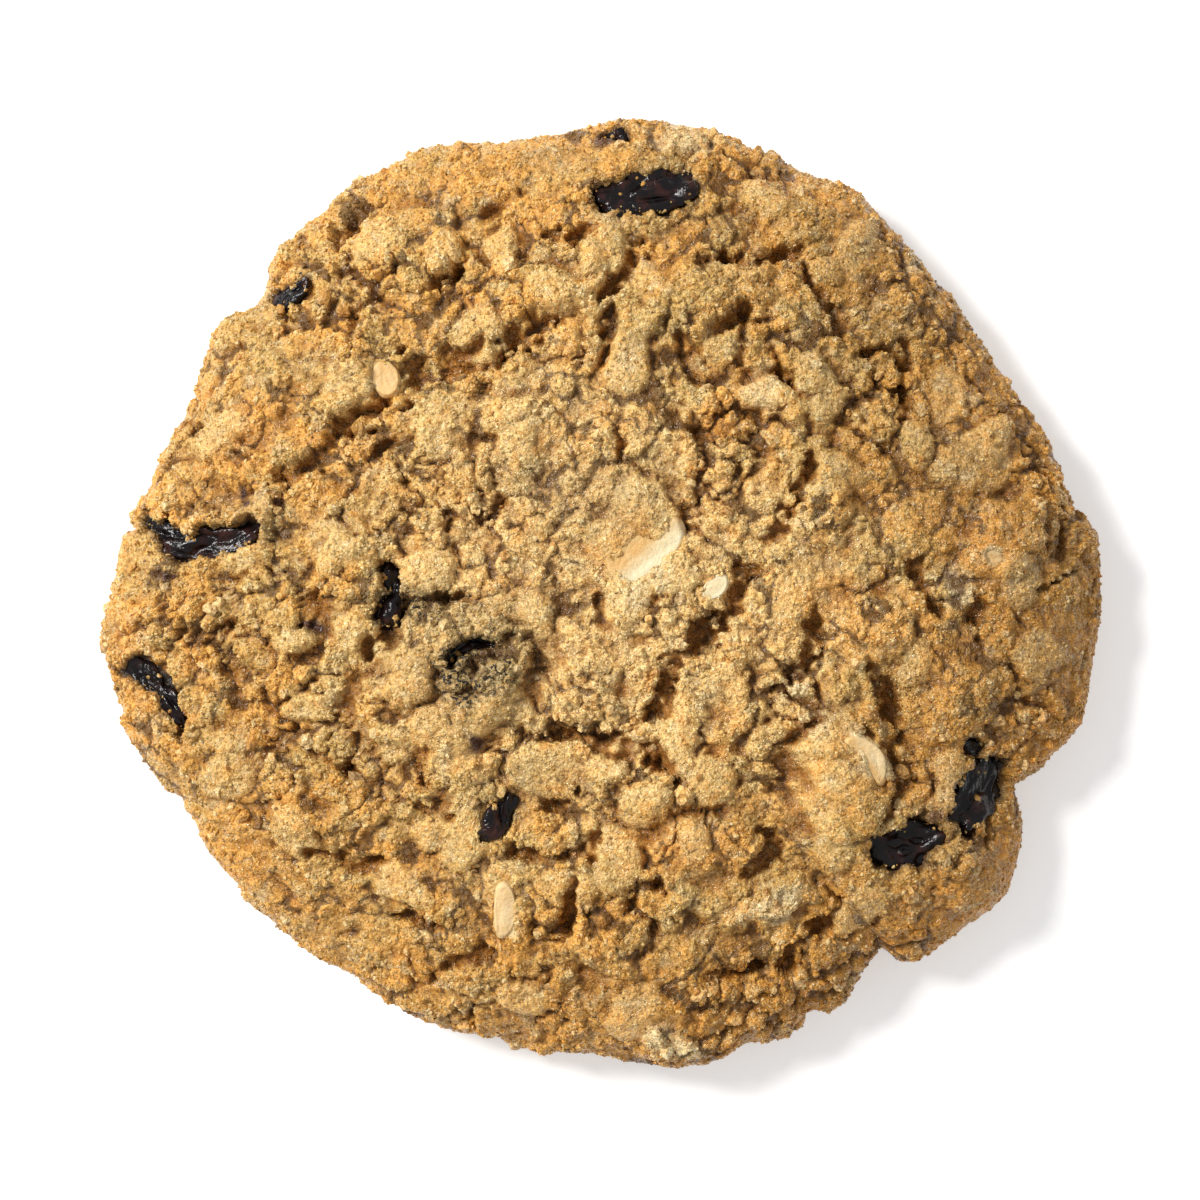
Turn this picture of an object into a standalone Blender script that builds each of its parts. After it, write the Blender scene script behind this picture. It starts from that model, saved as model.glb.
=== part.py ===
"""An oatmeal cookie, baked flat: a cracked, lumpy round of dough about 100 mm across.

Raisins and pieces of white chocolate sit in pockets in its top. The tables below are in
millimetres, and every mesh is scaled to metres. The origin is the middle of the flat underside,
+Z is up, and +X and +Y are right and up as the cookie is seen from above.
"""
import math
import random

import bmesh
import bpy
import numpy as np
from mathutils import Vector, noise

MM = 0.001

# ---- driving dimensions, mm ----
CROWN_HEIGHT = 13.2         # the dome at the middle, before its relief
WAIST_HEIGHT = 4.6          # where the side is widest
FOOT_SHARE = 0.955          # the foot's reach, as a share of the waist's
DOME_POWER = 3.4            # how flat the dome is in the middle and how round at its edge
RINGS = 34                  # rings of triangles from the crown to the foot
CLEARANCE = 0.32            # the gap between a pocket and the piece in it
NEST_MARGIN = 1.5           # how far round a piece the dough sinks towards it
NEST_DEPTH = 0.6            # how far it sinks there
FOOT_FADE = 2.5             # the relief dies out over this height above the foot
RIM_RELIEF = 0.55           # the share of the relief that is left where the side is widest
MIN_CRACK = 1.25            # the narrowest half width that these triangles can show

# oat flakes pressed into the top, besides the large ones among the lumps below
FLAKES = 80
FLAKE_LENGTH = (4.6, 6.6)
FLAKE_NARROWNESS = (0.55, 0.75)
FLAKE_RISE = (0.35, 0.65)
FLAKE_REACH = 0.9           # the part of the outline's reach that flakes lie in
FLAKE_SEED = 7

# the widest outline, anticlockwise from the far side
OUTLINE = [
    (0, 46.6), (-4, 45.9), (-10, 45), (-16, 44.6), (-22, 42.1), (-26, 40.2), (-28, 37.6),
    (-31, 35.5), (-33, 32.9), (-33.5, 30), (-35, 28.4), (-37.8, 26.9), (-39, 25), (-40.2, 21.5),
    (-41.5, 18.5), (-44, 14.2), (-45.7, 10.8), (-47.3, 8), (-46.8, 6.4), (-48, 5.8), (-48.6, 3),
    (-49.4, -0.8), (-50.2, -3.8), (-49.4, -8.5), (-48, -12.3), (-46.4, -15.7), (-44.2, -18.6),
    (-41, -21.3), (-38.5, -26), (-36.2, -29), (-34.4, -32), (-28.8, -36.5), (-23.4, -39.2),
    (-20, -41.5), (-15.2, -43.8), (-10, -45), (-6.5, -46.1), (-2.2, -46), (4, -46.8),
    (10, -47.4), (12.8, -46.5), (15.2, -45.3), (17.5, -45), (20, -44), (21.2, -42.3),
    (23.3, -42.2), (24.5, -41), (25.5, -39), (27.3, -36.6), (28.2, -35.4), (30, -36.8),
    (32, -36.5), (36.2, -33.5), (39.6, -31), (41.6, -28), (42.5, -24.2), (41.6, -19.8),
    (42.2, -18.8), (44, -17.7), (45.4, -15.5), (46.9, -14), (48.6, -11), (49.6, -6.7),
    (50.3, -2), (49.9, 3.2), (49.4, 6.2), (47.4, 9.2), (46.2, 12.4), (44, 16.6), (41.9, 19.7),
    (39.8, 23.3), (37.5, 26.4), (35, 30.2), (32.4, 33.1), (29.3, 36.2), (27, 39.2),
    (24.5, 41.1), (22.4, 41.4), (20.5, 42.4), (18.6, 43.3), (17.4, 44.4), (14.8, 44.8),
    (10.2, 46.3), (3, 47.4),
]

# cracks and valleys in the top: half width, depth, route
CRACKS = [
    (1.3, 3.2, [(5.5, 36.5), (3, 33), (2, 31.5), (0.5, 29.5), (-1, 27)]),
    (1.6, 3.4, [(-1, 27), (-5.5, 27), (-8, 25.5), (-10, 24), (-13, 23), (-16, 22), (-19, 21),
                (-20.5, 19.5), (-23, 18), (-25.5, 16.5), (-27, 13.5), (-31, 11.5)]),
    (0.9, 2.6, [(10, 33), (14.5, 32.5), (19, 33.5), (21.5, 35.5)]),
    (0.8, 2.2, [(20, 33), (20.5, 30.5), (23, 27.5), (24.5, 23.5)]),
    (0.9, 2.4, [(15.5, 25.5), (17.5, 23), (18, 21), (21.5, 19)]),
    (0.9, 2.4, [(24.5, 23.5), (29.5, 24), (30.5, 22), (30, 17.5)]),
    (1.0, 2.6, [(20, 14), (20.5, 12.5), (19.5, 9.5), (18, 7), (16.5, 4.5)]),
    (1.3, 3.2, [(17.5, 2.5), (14.5, 1.5), (13, -0.5), (12, -3.5), (9, -5.5), (7, -7.5),
                (6, -10.5), (4, -13)]),
    (1.4, 3.2, [(-5, -12), (-3.5, -13.5), (0, -15), (5, -15.5), (8, -18), (9.5, -20.5)]),
    (0.9, 2.4, [(-1.5, -16.5), (-2.5, -20.5), (-7, -21.5)]),
    (0.9, 2.4, [(-12, -25.5), (-5.5, -26), (-1, -25.5), (0, -23)]),
    (0.7, 2.0, [(-18.5, -20.5), (-16.5, -22), (-13, -22)]),
    (0.8, 2.2, [(-30, -15), (-26.5, -16.5), (-24, -18.5)]),
    (0.8, 2.2, [(-30, -25), (-25.5, -26.5), (-20.5, -27.5)]),
    (0.8, 2.2, [(-22, -32), (-18, -32), (-15, -33.5)]),
    (1.0, 2.4, [(-16, -38), (-15, -37), (-12.5, -36), (-10.5, -36.5), (-10, -38)]),
    (0.9, 2.6, [(-2.5, -28.5), (-3, -32), (-2.5, -35.5)]),
    (0.9, 2.4, [(5, -27.5), (7, -30)]),
    (1.0, 2.6, [(10, -38), (14, -38), (18.5, -36.5), (22, -32.5), (24, -30.5), (21.5, -28.5)]),
    (1.2, 3.0, [(14.5, -22), (16.5, -24), (17.5, -25.5), (14.5, -27)]),
    (1.1, 2.8, [(27, -7), (28, -10.5), (30, -13)]),
    (0.9, 2.4, [(16.5, -8), (19.5, -7.5), (21, -4.5), (21, -1.5)]),
    (0.8, 2.2, [(30.5, 3.5), (32, 0.5), (34, -3)]),
    (0.7, 2.0, [(37, -0.5), (37.5, -5.5)]),
    (1.0, 2.6, [(45.5, 6.5), (46, 5), (45, 2), (42, -0.5)]),
    (1.2, 3.2, [(-25, -6), (-20.5, -5), (-19.5, -1), (-16, -0.5), (-12, -0.5)]),
    (0.9, 2.4, [(-17.5, 29.5), (-14, 31.5), (-12, 33)]),
    (0.8, 2.2, [(-11.5, 36), (-11, 38), (-7, 40)]),
    (0.9, 2.4, [(-5, 35), (-2.5, 35), (-0.5, 36)]),
    (0.8, 2.2, [(10, 25.5), (14, 27.5), (14.5, 28.5)]),
    (0.7, 2.0, [(2, 17), (2, 12.5)]),
    (0.8, 2.2, [(-22.5, 39.5), (-26, 36), (-27, 32.5)]),
    (0.9, 2.4, [(40.5, -16), (40, -19.5), (38.5, -23)]),
]

# raised plates, lumps and oat flakes: x, y, length, width, heading in degrees, height
LUMPS = [
    (24.2, -17.7, 13, 10.5, 80, 1.7), (10, -24.9, 12.5, 6, 15, 1.4),
    (3.8, -19.2, 10, 4.5, -8, 1.0), (27, -3.2, 8, 6.5, 10, 1.3),
    (9, 28.8, 16, 7, 8, 1.3), (11.5, 16.8, 7, 6, 0, 1.0), (-5.5, 30.8, 12, 8, 15, 1.4),
    (-17.5, 33.8, 10, 8, 60, 1.3), (-35, 18.5, 11, 8, 60, 1.2), (-35, 12.8, 10, 6.5, -20, 1.2),
    (-42.5, -0.7, 9, 7, 80, 1.1), (-15, -8.5, 17, 13, 30, 2.0), (-7, -31.7, 7, 6, 90, 1.1),
    (16.5, -30.8, 9, 3.6, 26, 1.1), (36.5, -28.7, 9, 6.5, -35, 1.1), (39.8, 5.3, 9, 7.5, 60, 1.3),
    (35.5, -10.5, 9, 7, 40, 1.0), (22, 9, 8, 5, 65, 1.0), (-10, 15, 12, 8, 30, 0.9),
    (-27.5, -20.5, 11, 8, -30, 1.1), (-24, 3, 9, 7, 70, 0.9), (18, 38, 9, 6, -25, 1.1),
    (31, 28, 9, 6, -50, 1.0), (7.4, -44.7, 7, 3.2, -14, 0.8), (2, -35.5, 8, 6, -60, 1.0),
    (-23, 24.5, 7, 5, 60, 1.0), (-1.5, -9, 7, 6, 0, 1.0), (38, 16.5, 8, 6, -60, 1.0),
]

# raisins: x, y, length, width, thickness, heading in degrees, bow of the ends, lift above the dough
RAISINS = {
    "raisin_far_edge": (4.3, 39.5, 10.6, 4.4, 4.4, 9, 0.5, 0.5),
    "raisin_left": (-39.5, 4.6, 12.6, 3.0, 3.6, -6, 2.6, 0.5),
    "raisin_lower_left": (-44.0, -9.8, 9.2, 2.7, 3.0, -49, 0.5, 0.4),
    "raisin_middle_left": (-20.6, -0.4, 6.0, 2.8, 3.0, -82, 0.3, 0.3),
    "raisin_under_arch": (-11.7, -5.2, 6.6, 2.4, 3.0, -4, -2.0, 0.5),
    "raisin_leaf": (-9.5, -22.2, 4.8, 2.2, 2.6, 62, 0.3, 0.5),
    "raisin_lobe_left": (30.3, -25.0, 7.2, 4.8, 4.2, 10, 0.2, 0.6),
    "raisin_lobe_right": (37.2, -19.5, 8.6, 4.4, 4.2, 62, 0.4, 0.6),
    "raisin_above_lobe": (36.8, -14.9, 2.4, 1.9, 2.0, 20, 0.0, 0.4),
    "raisin_upper_left": (-30.9, 30.4, 5.2, 2.4, 2.6, 34, 0.2, 0.4),
    "raisin_far_rim": (1.6, 45.4, 3.8, 1.9, 2.0, 18, 0.1, 0.3),
}

# pieces of white chocolate, in the same terms
CHOCOLATE = {
    "white_chocolate_middle": (4.0, 4.5, 10.4, 6.4, 4.6, 43, -0.4, 0.9),
    "white_chocolate_chip": (11.5, 0.5, 3.2, 1.9, 2.2, 74, 0.0, 0.5),
    "white_chocolate_lump": (26.7, -16.2, 6.8, 3.0, 3.2, -52, -1.0, 0.6),
    "white_chocolate_near": (-9.7, -31.2, 4.4, 2.0, 2.6, 88, 0.2, 0.5),
    "white_chocolate_right": (38.7, 4.0, 2.9, 2.0, 2.2, 20, 0.0, 0.6),
    "white_chocolate_nub": (-21.1, 21.0, 3.2, 2.3, 2.6, -70, 0.0, 0.6),
}

LONG_PIECE = 5.0            # a piece longer than this gets the finer mesh
FINE_PIECE = (14, 8)        # sides and bands of a long piece
SMALL_PIECE = (10, 6)
RAISIN_WRINKLE = 0.28       # how deep a raisin's skin folds
CHOCOLATE_WRINKLE = 0.10

# name: colour, roughness
MATERIALS = {
    "baked_dough": ((0.46, 0.26, 0.10), 0.75),
    "raisin_skin": ((0.020, 0.008, 0.010), 0.30),
    "white_chocolate": ((0.78, 0.63, 0.38), 0.45),
}


def clear_scene():
    for old in list(bpy.data.objects):
        bpy.data.objects.remove(old, do_unlink=True)


def make_material(name):
    """A Principled material of the colour and roughness in the table."""
    colour, roughness = MATERIALS[name]
    material = bpy.data.materials.new(name)
    material.use_nodes = True
    shader = material.node_tree.nodes["Principled BSDF"]
    shader.inputs["Base Color"].default_value = (*colour, 1.0)
    shader.inputs["Roughness"].default_value = roughness
    shader.inputs["Metallic"].default_value = 0.0
    material.diffuse_color = (*colour, 1.0)
    return material


# ---- plan and profile ----

def closed_spline(points, steps=8):
    """A smooth closed curve through the points."""
    p = np.array(points, float)
    before, after, beyond = np.roll(p, 1, 0), np.roll(p, -1, 0), np.roll(p, -2, 0)
    t = np.linspace(0, 1, steps, endpoint=False)[None, :, None]
    p, before, after, beyond = (a[:, None, :] for a in (p, before, after, beyond))
    curve = 0.5 * (2 * p + (after - before) * t
                   + (2 * before - 5 * p + 4 * after - beyond) * t ** 2
                   + (3 * p - before - 3 * after + beyond) * t ** 3)
    return curve.reshape(-1, 2)


def outline_radius(angles):
    """The distance from the axis to the outline at each angle."""
    curve = closed_spline(OUTLINE)
    at = np.arctan2(curve[:, 1], curve[:, 0])
    return np.interp(angles, at, np.hypot(curve[:, 0], curve[:, 1]), period=2 * math.pi)


def meridian(shares, reach=48.0):
    """Reach and height of the half profile, at each share of its length from crown to foot."""
    across = np.sin(np.linspace(0, math.pi / 2, 400))
    dome = WAIST_HEIGHT + (CROWN_HEIGHT - WAIST_HEIGHT) * np.sqrt(1 - across ** DOME_POWER)
    turn = np.linspace(0, math.pi / 2, 60)[1:]
    under = FOOT_SHARE + (1 - FOOT_SHARE) * np.cos(turn)
    r = np.concatenate([across, under])
    z = np.concatenate([dome, WAIST_HEIGHT * (1 - np.sin(turn))])
    length = np.concatenate([[0], np.cumsum(np.hypot(np.diff(r) * reach, np.diff(z)))])
    return np.interp(shares * length[-1], length, r), np.interp(shares * length[-1], length, z)


def dome_height(x, y):
    """The height of the plain dome over a point of the plan."""
    share = np.hypot(x, y) / outline_radius(np.arctan2(y, x))
    drop = np.sqrt(np.clip(1 - share ** DOME_POWER, 0, 1))
    return WAIST_HEIGHT + (CROWN_HEIGHT - WAIST_HEIGHT) * drop


# ---- relief ----

def wave(points, size, seed):
    """Smooth noise from -1 to 1, whose bumps are about `size` mm across."""
    shift = Vector((seed * 17.3, seed * 5.1, seed * 9.7))
    return np.array([noise.noise(Vector(p) / size + shift) for p in points])


def cobbles(points, size, seed):
    """Rounded cells about `size` mm across: 1 on top, falling to 0 in the creases between."""
    shift = Vector((seed * 3.1, seed * 11.9, seed * 7.3))
    crease = []
    for p in points:
        near, second = noise.voronoi(Vector(p) / size + shift)[0][:2]
        crease.append(second - near)
    return np.clip(np.array(crease) / 0.35, 0, 1) ** 0.6


def route_distance(plan, route):
    """Each plan point's distance from a polyline, and where along it the nearest point is."""
    ends = np.array(route, float)
    best, along = np.full(len(plan), np.inf), np.zeros(len(plan))
    for k, (a, b) in enumerate(zip(ends[:-1], ends[1:])):
        t = np.clip((plan - a) @ (b - a) / ((b - a) @ (b - a)), 0, 1)
        away = np.linalg.norm(plan - (a + t[:, None] * (b - a)), axis=1)
        nearer = away < best
        best[nearer], along[nearer] = away[nearer], (k + t[nearer]) / (len(ends) - 1)
    return best, along


def crack_depth(plan):
    """How far the cracks sink the surface: deepest along the route, tapering to its ends."""
    depth = np.zeros(len(plan))
    for half_width, deep, route in CRACKS:
        away, along = route_distance(plan, route)
        taper = np.clip(6 * np.minimum(along, 1 - along) + 0.35, 0, 1)
        wall = np.clip(1 - away / max(half_width, MIN_CRACK), 0, 1)
        depth = np.maximum(depth, deep * taper * wall ** 0.8)
    return depth


def local_frame(plan, x, y, heading):
    """Plan points as seen along and across a heading at (x, y)."""
    c, s = math.cos(math.radians(heading)), math.sin(math.radians(heading))
    dx, dy = plan[:, 0] - x, plan[:, 1] - y
    return dx * c + dy * s, dy * c - dx * s


def scatter_flakes():
    """Oat flakes spread evenly over the top, in the same terms as the lumps."""
    draw = random.Random(FLAKE_SEED)
    flakes = []
    for _ in range(FLAKES):
        angle, share = draw.uniform(-math.pi, math.pi), FLAKE_REACH * math.sqrt(draw.random())
        reach = share * float(outline_radius(angle))
        length = draw.uniform(*FLAKE_LENGTH)
        flakes.append((reach * math.cos(angle), reach * math.sin(angle), length,
                       length * draw.uniform(*FLAKE_NARROWNESS), draw.uniform(0, 180),
                       draw.uniform(*FLAKE_RISE)))
    return flakes


def lump_height(plan, lumps):
    """The tallest of the flat-topped ovals over each plan point."""
    height = np.zeros(len(plan))
    for x, y, length, width, heading, rise in lumps:
        along, across = local_frame(plan, x, y, heading)
        off = (2 * along / length) ** 2 + (2 * across / width) ** 2
        height = np.maximum(height, rise * np.clip(1.15 - off, 0, 1) ** 0.6)
    return height


def nest_share(plan):
    """1 under a raisin or chocolate piece, fading to 0 a little outside it."""
    share = np.zeros(len(plan))
    for x, y, length, width, _, heading, bow, _ in [*RAISINS.values(), *CHOCOLATE.values()]:
        along, across = local_frame(plan, x, y, heading)
        across = across - bow * (2 * along / length) ** 2
        off = np.hypot(2 * along / length, 2 * across / width)
        outside = (off - 1) * min(length, width) / 2
        share = np.maximum(share, np.clip(1 - outside / NEST_MARGIN, 0, 1))
    return share


def relief(points):
    """How far the baked surface stands above the plain dome."""
    plan = points[:, :2]
    crumbs = 0.9 * wave(points, 15, 1) + 0.75 * wave(points, 7, 2) + 0.45 * wave(points, 3.4, 3)
    crumbs += 0.95 * (cobbles(points, 6.5, 4) - 0.6) + 0.5 * (cobbles(points, 3.4, 5) - 0.6)
    nest = nest_share(plan)
    raised = lump_height(plan, LUMPS) + lump_height(plan, scatter_flakes())
    rise = crumbs + raised - crack_depth(plan)
    return rise * (1 - nest) - NEST_DEPTH * nest


# ---- meshes ----

def disc(rings):
    """A unit disc of even triangles: 6k points in ring k, as shares and angles, and its faces."""
    share, angle, faces, start = [0.0], [0.0], [], [0]
    for k in range(1, rings + 1):
        start.append(len(share))
        share += [k / rings] * (6 * k)
        angle += [2 * math.pi * j / (6 * k) for j in range(6 * k)]
    for k in range(1, rings + 1):
        inner, outer = 6 * (k - 1), 6 * k
        for side in range(6):
            for j in range(k):
                a = start[k] + side * k + j
                b = start[k] + (side * k + j + 1) % outer
                c = start[k - 1] + (side * (k - 1) + j) % max(inner, 1)
                faces.append((c, a, b))
                if j:
                    d = start[k - 1] + side * (k - 1) + j - 1
                    faces.append((d, a, c))
    return np.array(share), np.array(angle), faces


def dough_points(share, angle):
    """The baked surface at each share of the way from crown to foot, at each angle."""
    reach, height = meridian(share)
    radius = outline_radius(angle)
    step = 1e-3
    ahead, behind = meridian(np.minimum(share + step, 1)), meridian(np.maximum(share - step, 0))
    run, rise = (ahead[0] - behind[0]) * radius, ahead[1] - behind[1]
    size = np.hypot(run, rise)
    out = np.stack([np.cos(angle), np.sin(angle), np.zeros_like(angle)], axis=1)
    normal = out * (-rise / size)[:, None]
    normal[:, 2] = run / size
    points = out * (reach * radius)[:, None]
    points[:, 2] = height
    calm = np.clip(height / FOOT_FADE, 0, 1) * (RIM_RELIEF + (1 - RIM_RELIEF) * normal[:, 2] ** 2)
    return points + normal * (relief(points) * calm)[:, None]


def mesh_object(name, points, faces, material, smooth_below=35):
    """A named object from points in millimetres, with its faces pointing out."""
    mesh = bpy.data.meshes.new(name)
    mesh.from_pydata((np.asarray(points) * MM).tolist(), [], faces)
    solid = bmesh.new()
    solid.from_mesh(mesh)
    bmesh.ops.recalc_face_normals(solid, faces=solid.faces)
    solid.to_mesh(mesh)
    solid.free()
    mesh.materials.append(material)
    mesh.shade_smooth()
    mesh.set_sharp_from_angle(angle=math.radians(smooth_below))
    thing = bpy.data.objects.new(name, mesh)
    bpy.context.collection.objects.link(thing)
    return thing


def make_dough(material):
    """The baked surface down to the foot, closed by one flat face underneath."""
    share, angle, faces = disc(RINGS)
    points = dough_points(share, angle)
    foot = range(len(points) - 6 * RINGS, len(points))
    points[foot.start:, 2] = 0.0
    return mesh_object("dough", points, [*faces, tuple(reversed(foot))], material)


def make_piece(name, form, wrinkle, material, grow=0.0):
    """A bowed, wrinkled ellipsoid lying in the top, or, grown, the cutter of its pocket."""
    x, y, length, width, thick, heading, bow, lift = form
    sides, bands = FINE_PIECE if length > LONG_PIECE else SMALL_PIECE
    points, faces = [(length / 2, 0, 0)], []
    for band in range(1, bands):
        lean = math.pi * band / bands
        for side in range(sides):
            turn = 2 * math.pi * side / sides
            points.append((length / 2 * math.cos(lean),
                           width / 2 * math.sin(lean) * math.cos(turn),
                           thick / 2 * math.sin(lean) * math.sin(turn)))
    points.append((-length / 2, 0, 0))
    last = len(points) - 1
    for side in range(sides):
        after = (side + 1) % sides
        faces.append((0, 1 + side, 1 + after))
        faces.append((last, last - sides + after, last - sides + side))
        for band in range(bands - 2):
            low, high = 1 + band * sides, 1 + (band + 1) * sides
            faces += [(low + side, high + side, high + after), (low + side, high + after, low + after)]
    points = np.array(points)
    away = points / np.linalg.norm(points, axis=1, keepdims=True)
    points = points * (1 + wrinkle * wave(points, 2.2, x)[:, None] * 0.5) + away * grow
    points[:, 1] += bow * (2 * points[:, 0] / length) ** 2
    c, s = math.cos(math.radians(heading)), math.sin(math.radians(heading))
    centre = (x, y, float(dome_height(x, y)) + lift - thick / 2)
    points = points @ np.array([(c, s, 0), (-s, c, 0), (0, 0, 1)]) + centre
    return mesh_object(name, points, faces, material, smooth_below=60)


def cut_pocket(dough, cutter):
    """Sinks the cutter's shape into the dough, and leaves the cutter as a hidden guide."""
    cutter.hide_render = True
    cutter.display_type = "WIRE"
    cut = dough.modifiers.new(cutter.name, "BOOLEAN")
    cut.operation = "DIFFERENCE"
    cut.object = cutter


def main():
    clear_scene()
    dough_material, raisin_material, chocolate_material = map(make_material, MATERIALS)
    dough = make_dough(dough_material)
    for table, wrinkle, material in ((RAISINS, RAISIN_WRINKLE, raisin_material),
                                     (CHOCOLATE, CHOCOLATE_WRINKLE, chocolate_material)):
        for name, form in table.items():
            make_piece(name, form, wrinkle, material)
            cut_pocket(dough, make_piece("pocket_" + name, form, wrinkle, material, CLEARANCE))


main()
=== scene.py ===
"""The looks of an oatmeal cookie, seen from straight above on a pale floor.

The tables are in millimetres, in the part's own frame: the origin is the middle of the flat
underside, +Z is up, and +X and +Y are right and up in the picture. Every mesh is scaled to metres.
"""

import math
import random

import bmesh
import bpy
import numpy as np
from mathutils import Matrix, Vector, noise


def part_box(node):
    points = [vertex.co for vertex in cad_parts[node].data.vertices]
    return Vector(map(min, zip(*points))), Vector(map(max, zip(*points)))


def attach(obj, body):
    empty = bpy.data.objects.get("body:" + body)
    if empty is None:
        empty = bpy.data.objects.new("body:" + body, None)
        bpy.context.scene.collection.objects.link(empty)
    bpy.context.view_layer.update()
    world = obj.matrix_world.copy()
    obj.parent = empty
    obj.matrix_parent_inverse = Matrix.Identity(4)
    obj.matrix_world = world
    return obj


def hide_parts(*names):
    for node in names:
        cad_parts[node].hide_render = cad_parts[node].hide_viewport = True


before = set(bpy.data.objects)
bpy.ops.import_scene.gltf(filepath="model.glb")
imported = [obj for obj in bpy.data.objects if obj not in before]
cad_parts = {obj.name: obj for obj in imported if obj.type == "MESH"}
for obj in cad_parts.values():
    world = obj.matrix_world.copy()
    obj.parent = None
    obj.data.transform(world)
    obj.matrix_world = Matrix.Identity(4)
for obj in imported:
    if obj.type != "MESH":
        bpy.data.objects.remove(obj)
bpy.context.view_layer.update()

MM = 0.001

# ---- form, mm: the dome, the outline and the features repeat the part's own ----
CROWN_HEIGHT = 13.2
WAIST_HEIGHT = 4.6
FOOT_SHARE = 0.955          # the foot's reach, as a share of the outline's
DOME_POWER = 3.4
DOME_STEPS, SIDE_STEPS, SPLINE_STEPS = 400, 60, 8
MEAN_RADIUS = 48.0
FOOT_FADE = 2.5             # below this height the relief fades
RIM_RELIEF = 0.55           # what is left of it where the side is upright
NEST_MARGIN = 0.4           # how wide the dough's wall round a raisin is
NEST_DEPTH = 1.7            # how far down the dough goes under it
CREAM_MARGIN = 0.5          # how wide the dough's wall round white chocolate is
CREAM_DEPTH = 0.25          # how far the dough stays below the chocolate's flat top there
CREAM_TOP = 0.5             # where that flat top is, as a share of half the thickness
RAISIN_TOP = 0.7            # the same for a raisin
CREAM_WRINKLE = 0.15        # how deep the chocolate's ripples are
RAISIN_WRINKLE = 0.85       # and a raisin's folds
TOP_RINGS = 172             # rings of triangles from the crown to the foot
UNDER_RINGS = 46            # rings of triangles under the cookie
UNDER_REACH = 0.975         # how far out they go, as a share of the foot's reach
FOOT_RINGS = ((400, 0.986), (650, 0.994))   # points and reach of two more, next to the foot
UNDER_RECESS = 0.15         # how far the underside's pores reach
UNDER_FADE = 0.06           # and the share of the reach in which they fade
TRAY_FADE = (0.4, 3.5)      # from the tray's brown to the crust's own colours, by height

FLAKES = 80
FLAKE_LENGTH = (4.6, 6.6)
FLAKE_NARROWNESS = (0.55, 0.75)
FLAKE_RISE = (0.35, 0.65)
FLAKE_REACH = 0.9
FLAKE_SEED = 7

OUTLINE = [
    (0, 46.6), (-4, 45.9), (-10, 45), (-16, 44.6), (-22, 42.1), (-26, 40.2), (-28, 37.6),
    (-31, 35.5), (-33, 32.9), (-33.5, 30), (-35, 28.4), (-37.8, 26.9), (-39, 25), (-40.2, 21.5),
    (-41.5, 18.5), (-44, 14.2), (-45.7, 10.8), (-47.3, 8), (-46.8, 6.4), (-48, 5.8), (-48.6, 3),
    (-49.4, -0.8), (-50.2, -3.8), (-49.4, -8.5), (-48, -12.3), (-46.4, -15.7), (-44.2, -18.6),
    (-41, -21.3), (-38.5, -26), (-36.2, -29), (-34.4, -32), (-28.8, -36.5), (-23.4, -39.2),
    (-20, -41.5), (-15.2, -43.8), (-10, -45), (-6.5, -46.1), (-2.2, -46), (4, -46.8),
    (10, -47.4), (12.8, -46.5), (15.2, -45.3), (17.5, -45), (20, -44), (21.2, -42.3),
    (23.3, -42.2), (24.5, -41), (25.5, -39), (27.3, -36.6), (28.2, -35.4), (30, -36.8),
    (32, -36.5), (36.2, -33.5), (39.6, -31), (41.6, -28), (42.5, -24.2), (41.6, -19.8),
    (42.2, -18.8), (44, -17.7), (45.4, -15.5), (46.9, -14), (48.6, -11), (49.6, -6.7),
    (50.3, -2), (49.9, 3.2), (49.4, 6.2), (47.4, 9.2), (46.2, 12.4), (44, 16.6), (41.9, 19.7),
    (39.8, 23.3), (37.5, 26.4), (35, 30.2), (32.4, 33.1), (29.3, 36.2), (27, 39.2),
    (24.5, 41.1), (22.4, 41.4), (20.5, 42.4), (18.6, 43.3), (17.4, 44.4), (14.8, 44.8),
    (10.2, 46.3), (3, 47.4),
]

# the crust's low relief: height, size across and seed, and cover for what comes in patches
SWELLS = ((0.9, 15, 1), (0.6, 7, 2), (0.15, 3.4, 3))
CRAGS = ((0.6, 5.5, 4, 0.14), (0.4, 2.8, 5, 0.18))
KERNELS = ((0.45, 2.4, 6), (0.3, 1.3, 7))
GRIT = (0.2, 0.8, 8)
# its slabs: size, seed, cover, the step between their levels, and their gaps' width and depth
SLABS = ((6.0, 13, 0.08, 1.0, 0.8, 0.9), (2.8, 15, 0.05, 0.6, 0.55, 0.7))
CRAG_EDGE = 0.06            # how steep the crags' sides are
CRAG_DROP = 0.8             # how far the crust between them lies below the dome
BROKEN = (0.22, 0.62)       # how strong slabs and crags are, and how much stronger in places
CALMING = 0.75              # how much of the low relief smooth places lose
# wobbles that turn the relief ragged: size, amount, seed
BEND = (4.0, 1.2, 31)
RAGS = ((1.4, 0.6, 41), (0.7, 0.35, 45))
# noise in the cracks, round what lies bare and in the baked rim: height, size across, seed
CRACK_WALLS = ((1.3, 3.6, 10), (1.0, 1.7, 11), (0.7, 0.8, 12))
CRACK_BED = ((0.6, 2.4, 14), (0.4, 0.9, 16))
BARE_RIM = ((0.4, 1.6, 21), (0.4, 0.8, 22))
BAKED_RIM = ((0.16, 9, 71), (0.08, 3, 72))
SETTLING = 30               # rounds of averaging, to tell what stands proud

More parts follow.
